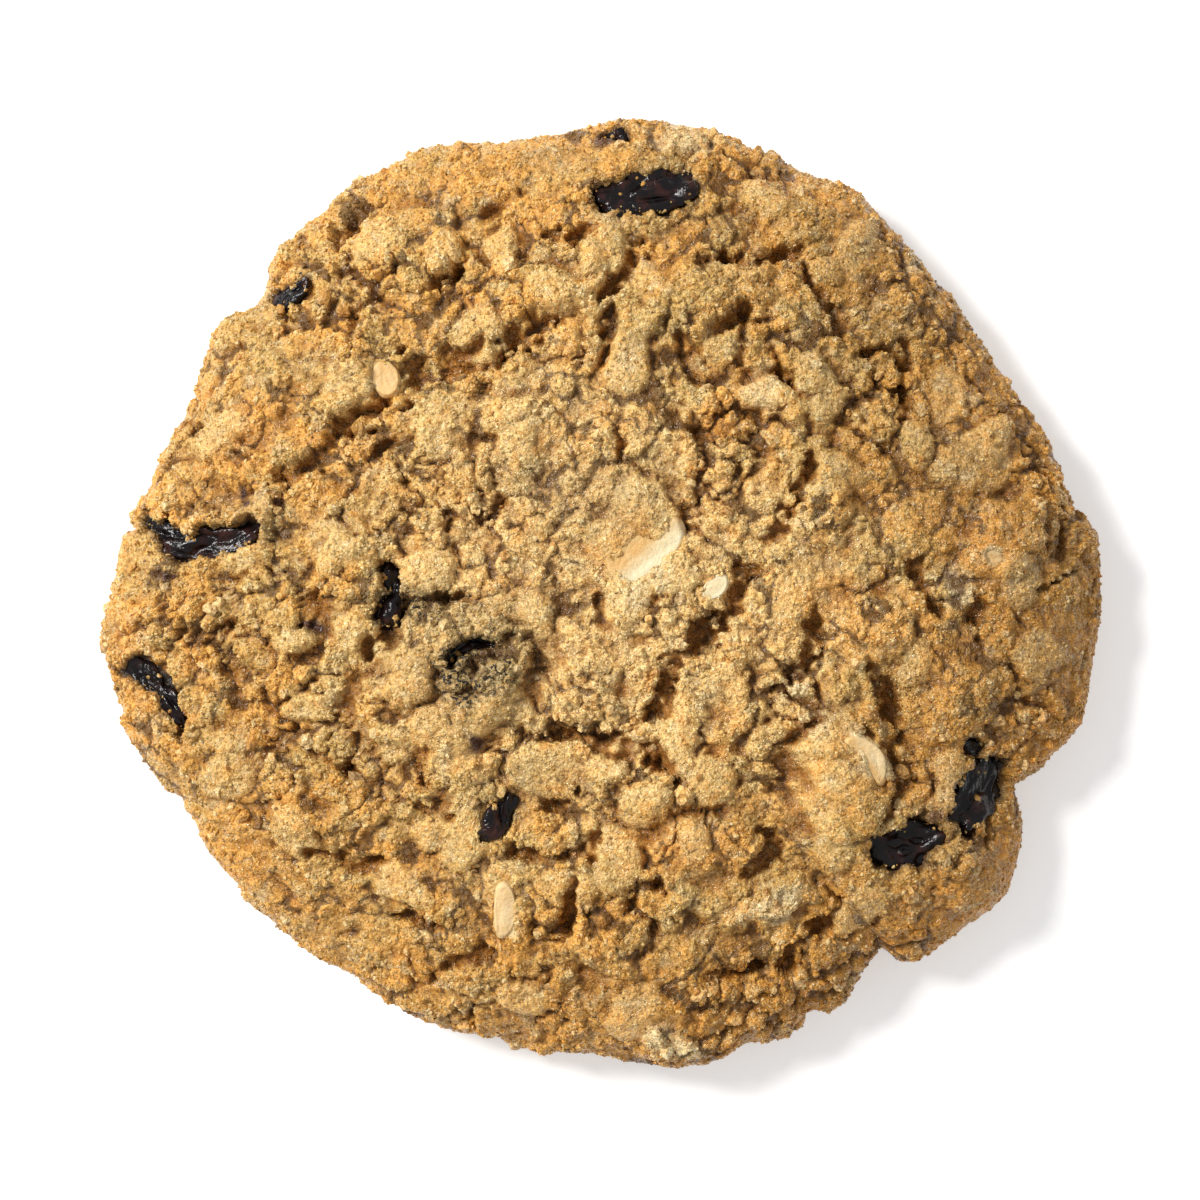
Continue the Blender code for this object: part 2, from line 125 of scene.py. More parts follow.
# cracks and valleys: half width, depth, route
CRACKS = [
    (0.9, 2.8, [(5.5, 36.5), (3, 33), (2, 31.5), (0.5, 29.5), (-1, 27)]),
    (2.0, 2.4, [(-1, 27), (-5.5, 27), (-8, 25.5), (-10, 24), (-13, 23), (-16, 22), (-19, 21),
                (-20.5, 19.5), (-23, 18), (-25.5, 16.5), (-27, 13.5), (-31, 11.5)]),
    (0.9, 2.6, [(10, 33), (14.5, 32.5), (19, 33.5), (21.5, 35.5)]),
    (0.8, 2.2, [(20, 33), (20.5, 30.5), (23, 27.5), (24.5, 23.5)]),
    (0.9, 2.4, [(15.5, 25.5), (17.5, 23), (18, 21), (21.5, 19)]),
    (0.9, 2.4, [(24.5, 23.5), (29.5, 24), (30.5, 22), (30, 17.5)]),
    (1.0, 2.6, [(20, 14), (20.5, 12.5), (19.5, 9.5), (18, 7), (16.5, 4.5)]),
    (1.3, 3.2, [(17.5, 2.5), (14.5, 1.5), (13, -0.5), (12, -3.5), (9, -5.5), (7, -7.5),
                (6, -10.5), (4, -13)]),
    (1.4, 3.2, [(-5, -12), (-3.5, -13.5), (0, -15), (5, -15.5), (8, -18), (9.5, -20.5)]),
    (0.9, 2.4, [(-1.5, -16.5), (-2.5, -20.5), (-7, -21.5)]),
    (0.9, 2.4, [(-12, -25.5), (-5.5, -26), (-1, -25.5), (0, -23)]),
    (0.7, 2.0, [(-18.5, -20.5), (-16.5, -22), (-13, -22)]),
    (0.8, 2.2, [(-30, -15), (-26.5, -16.5), (-24, -18.5)]),
    (0.8, 2.2, [(-30, -25), (-25.5, -26.5), (-20.5, -27.5)]),
    (0.8, 2.2, [(-22, -32), (-18, -32), (-15, -33.5)]),
    (1.0, 2.4, [(-16, -38), (-15, -37), (-12.5, -36), (-10.5, -36.5), (-10, -38)]),
    (0.9, 2.6, [(-2.5, -28.5), (-3, -32), (-2.5, -35.5)]),
    (0.9, 2.4, [(5, -27.5), (7, -30)]),
    (1.0, 2.6, [(10, -38), (14, -38), (18.5, -36.5), (22, -32.5), (24, -30.5), (21.5, -28.5)]),
    (1.2, 3.0, [(14.5, -22), (16.5, -24), (17.5, -25.5), (14.5, -27)]),
    (1.1, 2.8, [(27, -7), (28, -10.5), (30, -13)]),
    (0.9, 2.4, [(16.5, -8), (19.5, -7.5), (21, -4.5), (21, -1.5)]),
    (0.8, 2.2, [(30.5, 3.5), (32, 0.5), (34, -3)]),
    (0.7, 2.0, [(37, -0.5), (37.5, -5.5)]),
    (1.0, 2.6, [(45.5, 6.5), (46, 5), (45, 2), (42, -0.5)]),
    (1.2, 3.2, [(-25, -6), (-20.5, -5), (-19.5, -1), (-16, -0.5), (-12, -0.5)]),
    (0.9, 2.4, [(-17.5, 29.5), (-14, 31.5), (-12, 33)]),
    (0.8, 2.2, [(-11.5, 36), (-11, 38), (-7, 40)]),
    (0.9, 2.4, [(-5, 35), (-2.5, 35), (-0.5, 36)]),
    (0.8, 2.2, [(10, 25.5), (14, 27.5), (14.5, 28.5)]),
    (0.7, 2.0, [(2, 17), (2, 12.5)]),
    (0.8, 2.2, [(-22.5, 39.5), (-26, 36), (-27, 32.5)]),
    (0.9, 2.4, [(40.5, -16), (40, -19.5), (38.5, -23)]),
    (0.6, 1.8, [(20, -13), (22.3, -12.4), (25.7, -13), (28, -15), (29.6, -18), (29, -21),
                (26.5, -23.6)]),
]

# raised plates, lumps and large oat flakes: x, y, length, width, heading in degrees, height
LUMPS = [
    (24.2, -17.7, 13, 10.5, 80, 1.7), (10, -24.9, 12.5, 6, 15, 1.4),
    (3.8, -19.2, 10, 4.5, -8, 1.0), (27, -3.2, 8, 6.5, 10, 1.3),
    (9, 28.8, 16, 7, 8, 1.3), (11.5, 16.8, 7, 6, 0, 1.0), (-5.5, 30.8, 12, 8, 15, 1.4),
    (-17.5, 33.8, 10, 8, 60, 1.3), (-35, 18.5, 11, 8, 60, 1.2), (-35, 12.8, 10, 6.5, -20, 1.2),
    (-42.5, -0.7, 9, 7, 80, 1.1), (-15, -8.5, 17, 13, 30, 2.0), (-7, -31.7, 7, 6, 90, 1.1),
    (16.5, -30.8, 9, 3.6, 26, 1.1), (36.5, -28.7, 9, 6.5, -35, 1.1), (39.8, 5.3, 9, 7.5, 60, 1.3),
    (35.5, -10.5, 9, 7, 40, 1.0), (22, 9, 8, 5, 65, 1.0), (-10, 15, 12, 8, 30, 0.9),
    (-27.5, -20.5, 11, 8, -30, 1.1), (-24, 3, 9, 7, 70, 0.9), (18, 38, 9, 6, -25, 1.1),
    (31, 28, 9, 6, -50, 1.0), (7.4, -44.7, 7, 3.2, -14, 0.8), (2, -35.5, 8, 6, -60, 1.0),
    (-23, 24.5, 7, 5, 60, 1.0), (-1.5, -9, 7, 6, 0, 1.0), (38, 16.5, 8, 6, -60, 1.0),
]

# raisins: x, y, length, width, thickness, heading in degrees, bow of the ends, lift above dough
RAISINS = {
    "raisin_far_edge": (4.3, 39.6, 11.8, 5.6, 4.4, 9, 0.5, 0.0),
    "raisin_left": (-39.5, 4.6, 13.0, 4.8, 3.6, -4, 2.4, -0.2),
    "raisin_lower_left": (-44.2, -9.8, 10.0, 3.8, 3.0, -49, 0.5, -0.1),
    "raisin_middle_left": (-20.8, -0.8, 7.4, 3.4, 3.0, -86, 0.3, -0.3),
    "raisin_under_arch": (-12.2, -5.4, 7.0, 3.2, 3.0, 2, -2.0, 0.0),
    "raisin_leaf": (-9.8, -22.2, 5.2, 2.8, 2.6, 58, 0.3, 0.0),
    "raisin_lobe_left": (30.3, -24.9, 8.4, 5.8, 4.2, 14, 0.2, 0.0),
    "raisin_lobe_right": (37.3, -19.9, 9.4, 5.2, 4.2, 62, 0.4, -0.1),
    "raisin_above_lobe": (36.9, -15.2, 2.6, 2.4, 2.0, 20, 0.0, -0.6),
    "raisin_upper_left": (-30.7, 30.1, 5.2, 3.2, 2.6, 30, 0.2, -0.5),
    "raisin_far_rim": (1.8, 45.4, 4.0, 2.4, 2.0, 12, 0.1, -0.3),
}

# pieces of white chocolate, in the same terms, and how brown each is, from 0 to 1, to the right
# and to the left of its heading: the oven's browning, and on the middle piece also painted shade
# on its upper-left side, the shaded wall of its dip
CHOCOLATE = {
    "white_chocolate_middle": (4.1, 4.7, 9.4, 7.0, 4.6, 43, -0.4, 1.2, 0.0, 1.0),
    "white_chocolate_chip": (11.2, 0.6, 3.4, 2.1, 2.2, 50, 0.0, 0.7, 0.05, 0.2),
    "white_chocolate_lump": (26.5, -16.0, 6.2, 2.4, 3.2, -52, -1.0, 2.1, 0.9, 0.5),
    "white_chocolate_near": (-9.3, -31.2, 5.6, 2.4, 2.6, 88, 0.2, 1.3, 0.6, 0.6),
    "white_chocolate_right": (38.4, 3.7, 4.4, 3.2, 2.2, 10, 0.0, 1.6, 0.75, 0.75),
    "white_chocolate_nub": (-21.0, 21.0, 3.6, 3.0, 2.6, -76, 0.0, 1.1, 0.8, 0.9),
}

# the outline of what shows of each piece: the dough covers the rest
BARE = {
    "raisin_far_edge": [
        (-0.9, 39.6), (0.9, 40.6), (2.7, 41.2), (5.6, 41.7), (6.9, 42.1), (7.6, 41.5), (9.5, 40.8),
        (9.6, 39.7), (8.4, 38.5), (7.2, 38.1), (6.8, 37.2), (5, 37.9), (4, 37.5), (2.7, 37.9),
        (0.3, 37.5), (-0.4, 38.7)],
    "raisin_left": [
        (-45.2, 8.6), (-44.6, 7.1), (-44, 6.8), (-43.1, 7.7), (-42.9, 6.5), (-41.7, 6.1),
        (-41, 5.3), (-40, 5.4), (-39.4, 6.6), (-38, 6.9), (-36.6, 6.4), (-35.6, 6.8),
        (-34.6, 7.6), (-33.4, 6.4), (-33.6, 5.4), (-34.9, 4.6), (-37.1, 4.1), (-39.2, 3.7),
        (-41.6, 3.0), (-43.3, 3.7), (-43.6, 4.9), (-44.9, 6.6), (-45.5, 6.2)],
    "raisin_lower_left": [
        (-47.8, -7.8), (-46.3, -6.4), (-45.2, -6.1), (-44.2, -7.1), (-43.4, -7.1), (-43.4, -8),
        (-42.3, -8.4), (-42.1, -9.6), (-41.5, -11.9), (-40.9, -12.8), (-41.4, -14), (-42.3, -12.3),
        (-43.6, -10.3), (-44.9, -9.6), (-47.1, -8.3)],
    "raisin_middle_left": [
        (-21.9, 2.4), (-20.9, 3), (-19.9, 2.2), (-19.7, 0.8), (-20.3, -0.6), (-20.2, -3),
        (-20.9, -4.4), (-21.3, -3.4), (-22.3, -2.4), (-21.6, -0.9), (-20.8, 0.2), (-21.3, 1.5)],
    "raisin_under_arch": [
        (-15, -7), (-14.7, -5.9), (-13.6, -5.2), (-12.9, -4.6), (-11.5, -4.4), (-10.6, -4.9),
        (-11.5, -5.4), (-12.8, -5.6), (-13.9, -6.4), (-14.5, -7.2)],
    "raisin_leaf": [
        (-8.5, -20.2), (-10.1, -21.1), (-10.6, -22), (-10.7, -23), (-11.3, -23.6), (-12, -24.4),
        (-11.2, -24.2), (-10.5, -23.6), (-9.6, -23.6), (-9, -22.6), (-8.7, -21.5)],
    "raisin_lobe_left": [
        (26.7, -24.2), (28.8, -23.4), (30, -23), (31.4, -22.1), (32.7, -23.1), (33.8, -23.7),
        (33.7, -24.5), (32.8, -25.5), (32.2, -26.5), (31.2, -27.4), (30.2, -27), (29.2, -27.3),
        (27.3, -26.9), (26.8, -25.5)],
    "raisin_lobe_right": [
        (37.3, -16.6), (38.8, -15.9), (40.2, -16.6), (40.1, -17.5), (39.5, -18.5), (39.3, -19.9),
        (38.8, -21), (38.2, -21.7), (37.3, -22.7), (36.5, -24.2), (35.8, -24), (35.5, -23),
        (34.3, -22.4), (34.3, -21.7), (35.6, -21.1), (36.4, -20.9), (35.2, -20.5), (34.8, -19.5),
        (35.7, -18.5), (36.7, -17.4)],
    "raisin_above_lobe": [
        (36.2, -14.6), (37.2, -14.2), (37.8, -15), (37.5, -16), (36.8, -16.2), (36, -15.6)],
    "raisin_upper_left": [
        (-32.9, 29.2), (-32.1, 30.4), (-30.6, 30.5), (-29.5, 31.4), (-28.7, 31.3), (-28.9, 29.6),
        (-29.5, 28.2), (-30.9, 29.2)],
    "raisin_far_rim": [
        (1.4, 46.1), (2.4, 46.3), (3.6, 45.6), (3, 45), (1.9, 44.6), (0.9, 45.2), (0, 45.5)],
    "white_chocolate_middle": [
        (2.0, 1.5), (3.2, 1.4), (4.5, 2.1), (5.9, 3.2), (6.9, 4.5), (7.3, 5.8), (7.2, 6.9),
        (6.8, 6.8), (6.4, 5.6), (5.3, 4.3), (3.8, 3.1), (2.4, 2.2)],
    "white_chocolate_chip": [
        (10.9, 0.9), (11.6, 1.6), (12, 1.1), (11.9, 0.3), (11.2, -0.2), (10.3, -0.3)],
    "white_chocolate_lump": [
        (24.9, -13.8), (25.6, -13.9), (26.6, -14.9), (27.5, -15.8), (28.1, -16.8), (28.1, -17.8),
        (27.3, -17.9), (26.6, -16.7), (25.9, -15.4), (25.2, -14.5)],
    "white_chocolate_near": [
        (-9.6, -29.2), (-8.9, -28.9), (-8.6, -30), (-8.6, -32), (-8.8, -33.5), (-9.6, -33.2),
        (-9.9, -31)],
    "white_chocolate_right": [
        (37.5, 3.9), (38.3, 4.4), (39.3, 4), (39.2, 3.3), (38.2, 3), (37.6, 3.4)],
    "white_chocolate_nub": [
        (-22, 22.2), (-20.1, 22.2), (-19.8, 20.8), (-20.4, 19.7), (-21.4, 19.7), (-22.1, 20.8)],
}

# ---- colours of the dough, linear, and where it takes them ----
GOLD = (0.83, 0.45, 0.112)
OLIVE = (0.66, 0.435, 0.150)
HEART = (0.92, 0.63, 0.270)
RIM = (0.62, 0.30, 0.055)
# deep brown: painted shade in the crust's hollows, and the own tone of the darkest loose crumbs
DEEP = (0.36, 0.138, 0.016)
AMBER_SHADE = (0.58, 0.44, 0.20)       # painted shade: multiplies the dough's colour in the hollows of its fine bumps, between its grains
STAINED = (0.34, 0.26, 0.130)
# near black: the stained dough's specks, and painted shade in and round each raisin's nest
SPECK_AND_SHADE_BLACK = (0.030, 0.022, 0.016)
# near black brown: painted shade in pores and in the narrow gaps between slabs
CREVICE_SHADE = (0.10, 0.042, 0.008)
RUSSET = (0.070, 0.022, 0.012)
TOASTED = (0.76, 0.38, 0.090)
FLAKE = (0.80, 0.56, 0.240)
CREAM = (0.88, 0.70, 0.40)
LIT_SIDE = math.radians(150)    # where the rim's browning is weakest: toward the key light, so the rim there is painted paler, as painted light
SHADE_SIDE = math.radians(10)     # and where the rim takes the most painted shade, on the side away from the key light
# and of the raisins and the white chocolate
FRUIT_BLACK = (0.007, 0.005, 0.006)
FRUIT_RED = (0.050, 0.016, 0.012)
# near black: painted shade in the hollows of a raisin's folds
FRUIT_FOLD_SHADE = (0.004, 0.002, 0.003)
WHITE_CREAM = (0.92, 0.80, 0.52)
WHITE_BROWNED_AND_SHADED = (0.80, 0.48, 0.17)
# how far light spreads inside, by colour, and in all, mm
DOUGH_GLOW, CREAM_GLOW = (1.0, 0.5, 0.2), (1.0, 0.7, 0.4)
GLOW_REACH = 0.8

# soft ovals of another tone: x, y, length, width, heading in degrees, strength
STAINS = [
    (-31.5, 6.5, 7, 5, 20, 0.6), (-36, 8.2, 12, 3.5, -8, 0.5), (-12, -7.2, 10, 9, 30, 1.0),
    (-13, -6.5, 18, 14, 10, 0.5), (-18, -1.2, 8, 4, -10, 0.9), (-9, -19.5, 9, 7, 30, 0.4),
    (5, 39.8, 13, 7, 9, 0.4), (34, -22, 14, 8, 40, 0.3), (-5, 43, 7, 3, 10, 0.5),
    (-1, 10, 17, 9, -12, 0.36), (24, -12, 8, 3, -10, 0.38),
]
TOASTS = [
    (-27, 15.3, 4, 3, 20, 1.0), (11.5, 16.8, 7, 5, 0, 0.8), (10, -25, 12, 5.5, 15, 0.8),
    (27, -3.2, 9, 7, 10, 0.6), (38.5, 4.5, 9, 7, 60, 0.8), (2.6, 6, 8, 4, 43, 0.9),
    (24.2, -17.7, 11, 9, 80, 0.4), (34, -19.5, 5, 7, 30, 0.9), (22, -0.5, 9, 5, 20, 0.6),
    (-34, 16, 12, 6, 40, 0.7), (-24, 12, 9, 5, 40, 0.5), (-46, -8, 5, 14, 10, 0.6),
]
PALES = [
    (19, -9, 4.5, 2.8, 20, 0.9), (35, 0.3, 4.5, 3, 60, 0.8), (17, -30.7, 8, 3, 26, 0.8),
    (7.4, -44.8, 7, 3, -14, 0.9), (31.3, 32.9, 3, 2, 30, 0.7), (8, 45.2, 8, 3, -5, 0.6),
    (20.5, -13, 5, 3, -40, 0.7), (4.5, 1.2, 8, 4, 40, 0.5), (16, 20, 5, 4, 60, 0.5),
    (26.6, -15.8, 7, 3, -52, 0.8),
]
SPECKS = [
    (-28.2, -3.4, 3.0, 1.3, -15, 1.0), (-43, 1.7, 2.6, 1.4, -8, 1.0),
    (-34.8, 9.6, 1.3, 1.2, 0, 1.0), (-34.2, 8.7, 1.4, 1.2, 40, 1.0),
    (-31.6, 8.8, 1.3, 1.1, 0, 1.0), (-12.3, -14.9, 2.2, 1.6, -30, 1.0),
    (33, -21.5, 2.8, 1.7, -50, 0.8), (25.7, -32.1, 1.7, 1.3, 0, 0.8),
    (0.4, 45.3, 2.6, 1.4, 10, 0.9),
]
# and soft ovals where the crust is smooth
CALMS = [
    (24.2, -17.7, 13, 10, 80, 1.0), (38.6, 3.6, 5, 4.4, 0, 1.0), (38.5, -29, 14, 6, 55, 0.8),
    (3.2, 5, 9, 7, 43, 1.0),
    (46.8, -3, 18, 5, 90, 0.6), (0, 43, 14, 4, 5, 0.5), (38, 32, 6, 20, 50, 0.4),
    (-47.5, 2, 14, 4, 80, 0.5), (-38, -26, 14, 5, -55, 0.5),
]

# crumbs that lie on the baked surface: how many, size range in mm, how deep they sit, seed,
# and how round they are, from 0 for eight-sided grains
CRUMBS = {
    "fine_crumbs": (23500, (0.26, 0.52), 0.05, 3, 0),
    "sugar_grains": (23500, (0.20, 0.40), 0.0, 4, 0),
    "coarse_crumbs": (8000, (0.36, 0.80), 0.08, 5, 1),
    "crust_chunks": (900, (0.8, 1.7), 0.28, 6, 2),
    "rim_crumbs": (280, (0.2, 0.8), 0.15, 8, 1),
}
CRUMB_JITTER = 0.28

# where the dough's top and underside lie in its colour map: middle and radius
TOP_MAP = (0.465, 0.46)
UNDER_MAP = (0.878, 0.115)
MAP_WIDTH = 104.0           # how much of the plan a crumb's colour map takes in, mm

# ---- the picture ----
FRAME_WIDTH = 120.0         # how much of the floor the camera sees across, mm
LENS = 110.0
SENSOR = 36.0
AIM = (0.0, -0.7, 5.0)      # the point that the camera looks straight down on, mm
KEY_SIDE = 150              # where the light comes from, in degrees from +X towards +Y
KEY_ELEVATION = 42
KEY_DISTANCE = 1.2          # m
KEY_SIZE = 0.35             # m
KEY_POWER = 16.1
KEY_COLOUR = (1.0, 0.98, 0.95)
WORLD_STRENGTH = 0.42
WHITE = (1.0, 1.0, 1.0, 1.0)
FLOOR_HALF = 2000.0         # mm
FLOOR_COLOUR = (0.9, 0.9, 0.9, 1.0)
FLOOR_ROUGHNESS = 0.9
FLOOR_GLOW = 0.4            # lightens the shadow on the floor


# ---- plan and profile, as in the part ----

def closed_spline(points):
    """A smooth closed curve through the points."""
    p = np.array(points, float)
    before, after, beyond = np.roll(p, 1, 0), np.roll(p, -1, 0), np.roll(p, -2, 0)
    t = np.linspace(0, 1, SPLINE_STEPS, endpoint=False)[None, :, None]
    p, before, after, beyond = (a[:, None, :] for a in (p, before, after, beyond))
    curve = 0.5 * (2 * p + (after - before) * t
                   + (2 * before - 5 * p + 4 * after - beyond) * t ** 2
                   + (3 * p - before - 3 * after + beyond) * t ** 3)
    return curve.reshape(-1, 2)


def outline_radius(angles):
    """The distance from the axis to the outline at each angle."""
    curve = closed_spline(OUTLINE)
    at = np.arctan2(curve[:, 1], curve[:, 0])
    return np.interp(angles, at, np.hypot(curve[:, 0], curve[:, 1]), period=2 * math.pi)


def meridian(shares):
    """Reach and height of the half profile, at each share of its length from crown to foot."""
    across = np.sin(np.linspace(0, math.pi / 2, DOME_STEPS))
    dome = WAIST_HEIGHT + (CROWN_HEIGHT - WAIST_HEIGHT) * np.sqrt(1 - across ** DOME_POWER)
    turn = np.linspace(0, math.pi / 2, SIDE_STEPS)[1:]
    under = FOOT_SHARE + (1 - FOOT_SHARE) * np.cos(turn)
    r = np.concatenate([across, under])
    z = np.concatenate([dome, WAIST_HEIGHT * (1 - np.sin(turn))])
    length = np.concatenate([[0], np.cumsum(np.hypot(np.diff(r) * MEAN_RADIUS, np.diff(z)))])
    return np.interp(shares * length[-1], length, r), np.interp(shares * length[-1], length, z)


def dome_height(x, y):
    """The height of the plain dome over a point of the plan."""
    share = np.hypot(x, y) / outline_radius(np.arctan2(y, x))
    drop = np.sqrt(np.clip(1 - share ** DOME_POWER, 0, 1))
    return WAIST_HEIGHT + (CROWN_HEIGHT - WAIST_HEIGHT) * drop


# ---- relief ----

def wave(points, size, seed):
    """Smooth noise from -1 to 1, whose bumps are about `size` mm across."""
    shift = Vector((seed * 17.3, seed * 5.1, seed * 9.7))
    return np.array([noise.noise(Vector(p) / size + shift) for p in points])


def layers(points, rounds):
    """Noise of several sizes added up: the height, size and seed of each."""
    total = np.zeros(len(points))
    for height, size, seed in rounds:
        total += height * wave(points, size, seed)
    return total


def cells(points, size, seed):
    """Each point's distance to the nearest of scattered centres, and how much further the second
    is, as shares of `size`, which is about their spacing in mm, and the nearest centre."""
    shift = Vector((seed * 3.1, seed * 11.9, seed * 7.3))
    near, gap, centres = [], [], []
    for p in points:
        away, places = noise.voronoi(Vector(p) / size + shift)
        near.append(away[0])
        gap.append(away[1] - away[0])
        centres.append(places[0][:])
    return np.array(near), np.array(gap), np.array(centres)


def smooth_step(low, high, value):
    """0 up to low, 1 from high, and a smooth curve between."""
    t = np.clip((value - low) / (high - low), 0, 1)
    return t * t * (3 - 2 * t)


def wobble(points, size, amount, seed):
    """The points, each moved by up to about `amount` mm: what is read there turns ragged."""
    moved = np.array(points)
    for axis in range(3):
        moved[:, axis] += amount * wave(points, size, seed + 0.37 * axis)
    return moved


def crags(points, size, seed, cover):
    """Broken crust: ragged plates about `size` mm across, 1 on top, 0 between, steep sided."""
    return smooth_step(-CRAG_EDGE, CRAG_EDGE, wave(points, size, seed) + cover)


def kernels(points, size, seed):
    """Rounded crumbs about `size` mm across: 1 on top, with creases where they meet."""
    near, _, _ = cells(points, size, seed)
    return 1 - np.clip(near / 0.75, 0, 1) ** 2


def slabs(points, size, width, seed, cover):
    """Pieces of crust about `size` mm across: each one's own level from -0.5 to 0.5, and thin gaps
    between them, 1 in their middle, in patches. Cover runs from -1 to 1."""
    _, gap, centre = cells(points, size, seed)
    level = np.mod(np.sin(centre @ (12.99, 78.23, 37.72)) * 43758.55, 1.0) - 0.5
    line = 1 - smooth_step(0.25, 1, gap * size / width)
    return level, line * smooth_step(-0.12, 0.12, wave(points, 1.6 * size, seed + 1) + cover)


def route_distance(plan, route):
    """Each plan point's distance from a polyline, and where along it the nearest point is."""
    ends = np.array(route, float)
    best, along = np.full(len(plan), np.inf), np.zeros(len(plan))
    for k, (a, b) in enumerate(zip(ends[:-1], ends[1:])):
        t = np.clip((plan - a) @ (b - a) / ((b - a) @ (b - a)), 0, 1)
        away = np.linalg.norm(plan - (a + t[:, None] * (b - a)), axis=1)
        nearer = away < best
        best[nearer], along[nearer] = away[nearer], (k + t[nearer]) / (len(ends) - 1)
    return best, along


def crack_depth(points):
    """How far the cracks sink the surface: steep ragged walls round a bed, and tapering ends."""
    plan = points[:, :2]
    ragged = layers(points, CRACK_WALLS)
    bed = 0.62 + layers(points, CRACK_BED)
    depth = np.zeros(len(plan))
    for half_width, deep, route in CRACKS:
        away, along = route_distance(plan, route)
        taper = np.clip(4 * np.minimum(along, 1 - along) + 0.25, 0, 1)
        inside = 0.8 * half_width * taper - away + ragged * min(1.0, half_width)
        depth = np.maximum(depth, deep * smooth_step(-0.15, 0.4, inside) * (0.35 + 0.65 * taper))
    return depth * np.clip(bed, 0.2, 1)


def local_frame(plan, x, y, heading):
    """Plan points as seen along and across a heading at (x, y)."""
    c, s = math.cos(math.radians(heading)), math.sin(math.radians(heading))
    dx, dy = plan[:, 0] - x, plan[:, 1] - y
    return dx * c + dy * s, dy * c - dx * s


def scatter_flakes():
    """The part's own oat flakes, spread evenly over the top, in the same terms as the lumps."""
    draw = random.Random(FLAKE_SEED)
    flakes = []
    for _ in range(FLAKES):
        angle, share = draw.uniform(-math.pi, math.pi), FLAKE_REACH * math.sqrt(draw.random())
        reach = share * float(outline_radius(angle))
        length = draw.uniform(*FLAKE_LENGTH)
        flakes.append((reach * math.cos(angle), reach * math.sin(angle), length,
                       length * draw.uniform(*FLAKE_NARROWNESS), draw.uniform(0, 180),
                       draw.uniform(*FLAKE_RISE)))
    return flakes


def lump_height(plan, lumps):
    """The tallest of the flat-topped ovals over each plan point."""
    height = np.zeros(len(plan))
    for x, y, length, width, heading, rise in lumps:
        along, across = local_frame(plan, x, y, heading)
        off = (2 * along / length) ** 2 + (2 * across / width) ** 2
        height = np.maximum(height, rise * np.clip(1.15 - off, 0, 1) ** 0.6)
    return height


def edge_distance(plan, corners):
    """How far each plan point lies outside a closed outline: less than 0 inside it."""
    away, _ = route_distance(plan, corners + corners[:1])
    x, y = plan.T
    inside = np.zeros(len(plan), bool)
    for (ax, ay), (bx, by) in zip(corners, corners[1:] + corners[:1]):
        if ay != by:
            inside ^= ((ay > y) != (by > y)) & (x < ax + (y - ay) * (bx - ax) / (by - ay))
    return np.where(inside, -away, away)


def bare_shares(points, pieces, margin):
    """By each piece's name, 1 where it lies bare, falling to 0 across its ragged rim of dough."""
    ragged = layers(points, BARE_RIM)
    shares = {}
    for name in pieces:
        outside = edge_distance(points[:, :2], BARE[name]) + ragged
        shares[name] = 1 - smooth_step(-0.15, margin, outside)
    return shares


def patch_share(points, patches, seed):
    """How strongly soft ragged ovals mark each point, from 0 to 1."""
    bent = wobble(points, 3.0, 1.2, seed)[:, :2]
    share = np.zeros(len(points))
    for x, y, length, width, heading, strength in patches:
        along, across = local_frame(bent, x, y, heading)
        off = np.hypot(2 * along / length, 2 * across / width)
        share = np.maximum(share, strength * (1 - smooth_step(0.55, 1.25, off)))
    return share


def flake_share(points):
    """1 on the smooth oat flakes."""
    return np.clip(lump_height(wobble(points, *BEND)[:, :2], scatter_flakes()) / 0.25, 0, 1)


def calm_share(points):
    """1 where the crust is smooth: on the oat flakes and on a few lumps and stretches of rim."""
    return np.maximum(flake_share(points), patch_share(points, CALMS, 76))


def relief(points):
    """How far the baked surface stands above the plain dome, and 1 in its narrow gaps."""
    bent = wobble(points, *BEND)
    ragged = bent
    for rag in RAGS:
        ragged = wobble(ragged, *rag)
    calm = calm_share(points)
    least, more = BROKEN
    broken = least + more * smooth_step(-0.3, 0.3, wave(points, 12, 19))
    steps, plates, gap = np.zeros((3, len(points)))
    for size, seed, cover, step, width, depth in SLABS:
        level, line = slabs(ragged, size, width, seed, cover)
        steps += step * level
        steps -= depth * line
        gap = np.maximum(gap, line)
    for height, size, seed, cover in CRAGS:
        plates += height * crags(ragged, size, seed, cover)
    rough = broken * steps + broken * (plates - CRAG_DROP)
    for height, size, seed in KERNELS:
        rough += height * (kernels(ragged, size, seed) - 0.5)
    height, size, seed = GRIT
    rough += height * (kernels(points, size, seed) - 0.5)
    rise = layers(points, SWELLS) + rough * (1 - CALMING * calm)
    rise += lump_height(ragged[:, :2], LUMPS) + lump_height(bent[:, :2], scatter_flakes())
    rise -= crack_depth(points)
    for nest in bare_shares(points, RAISINS, NEST_MARGIN).values():
        rise = rise * (1 - nest) - NEST_DEPTH * nest
    for name, nest in bare_shares(points, CHOCOLATE, CREAM_MARGIN).items():
        thick, lift = CHOCOLATE[name][4], CHOCOLATE[name][7]
        crown = lift - (1 - CREAM_TOP) * thick / 2
        rise = rise * (1 - nest) + (crown - CREAM_DEPTH) * nest
    return rise, gap * (1 - calm)


# ---- meshes ----

def stitch(inner, outer):
    """Triangles between two rings of point numbers, each evenly spaced from angle 0."""
    faces, i, j = [], 0, 0
    n, m = len(inner), len(outer)
    while i < n or j < m:
        if j < m and (i >= n or (j + 1) * n <= (i + 1) * m):
            faces.append((inner[i % n], outer[j], outer[(j + 1) % m]))
            j += 1
        else:
            faces.append((inner[i], outer[j % m], inner[(i + 1) % n]))
            i += 1
    return faces


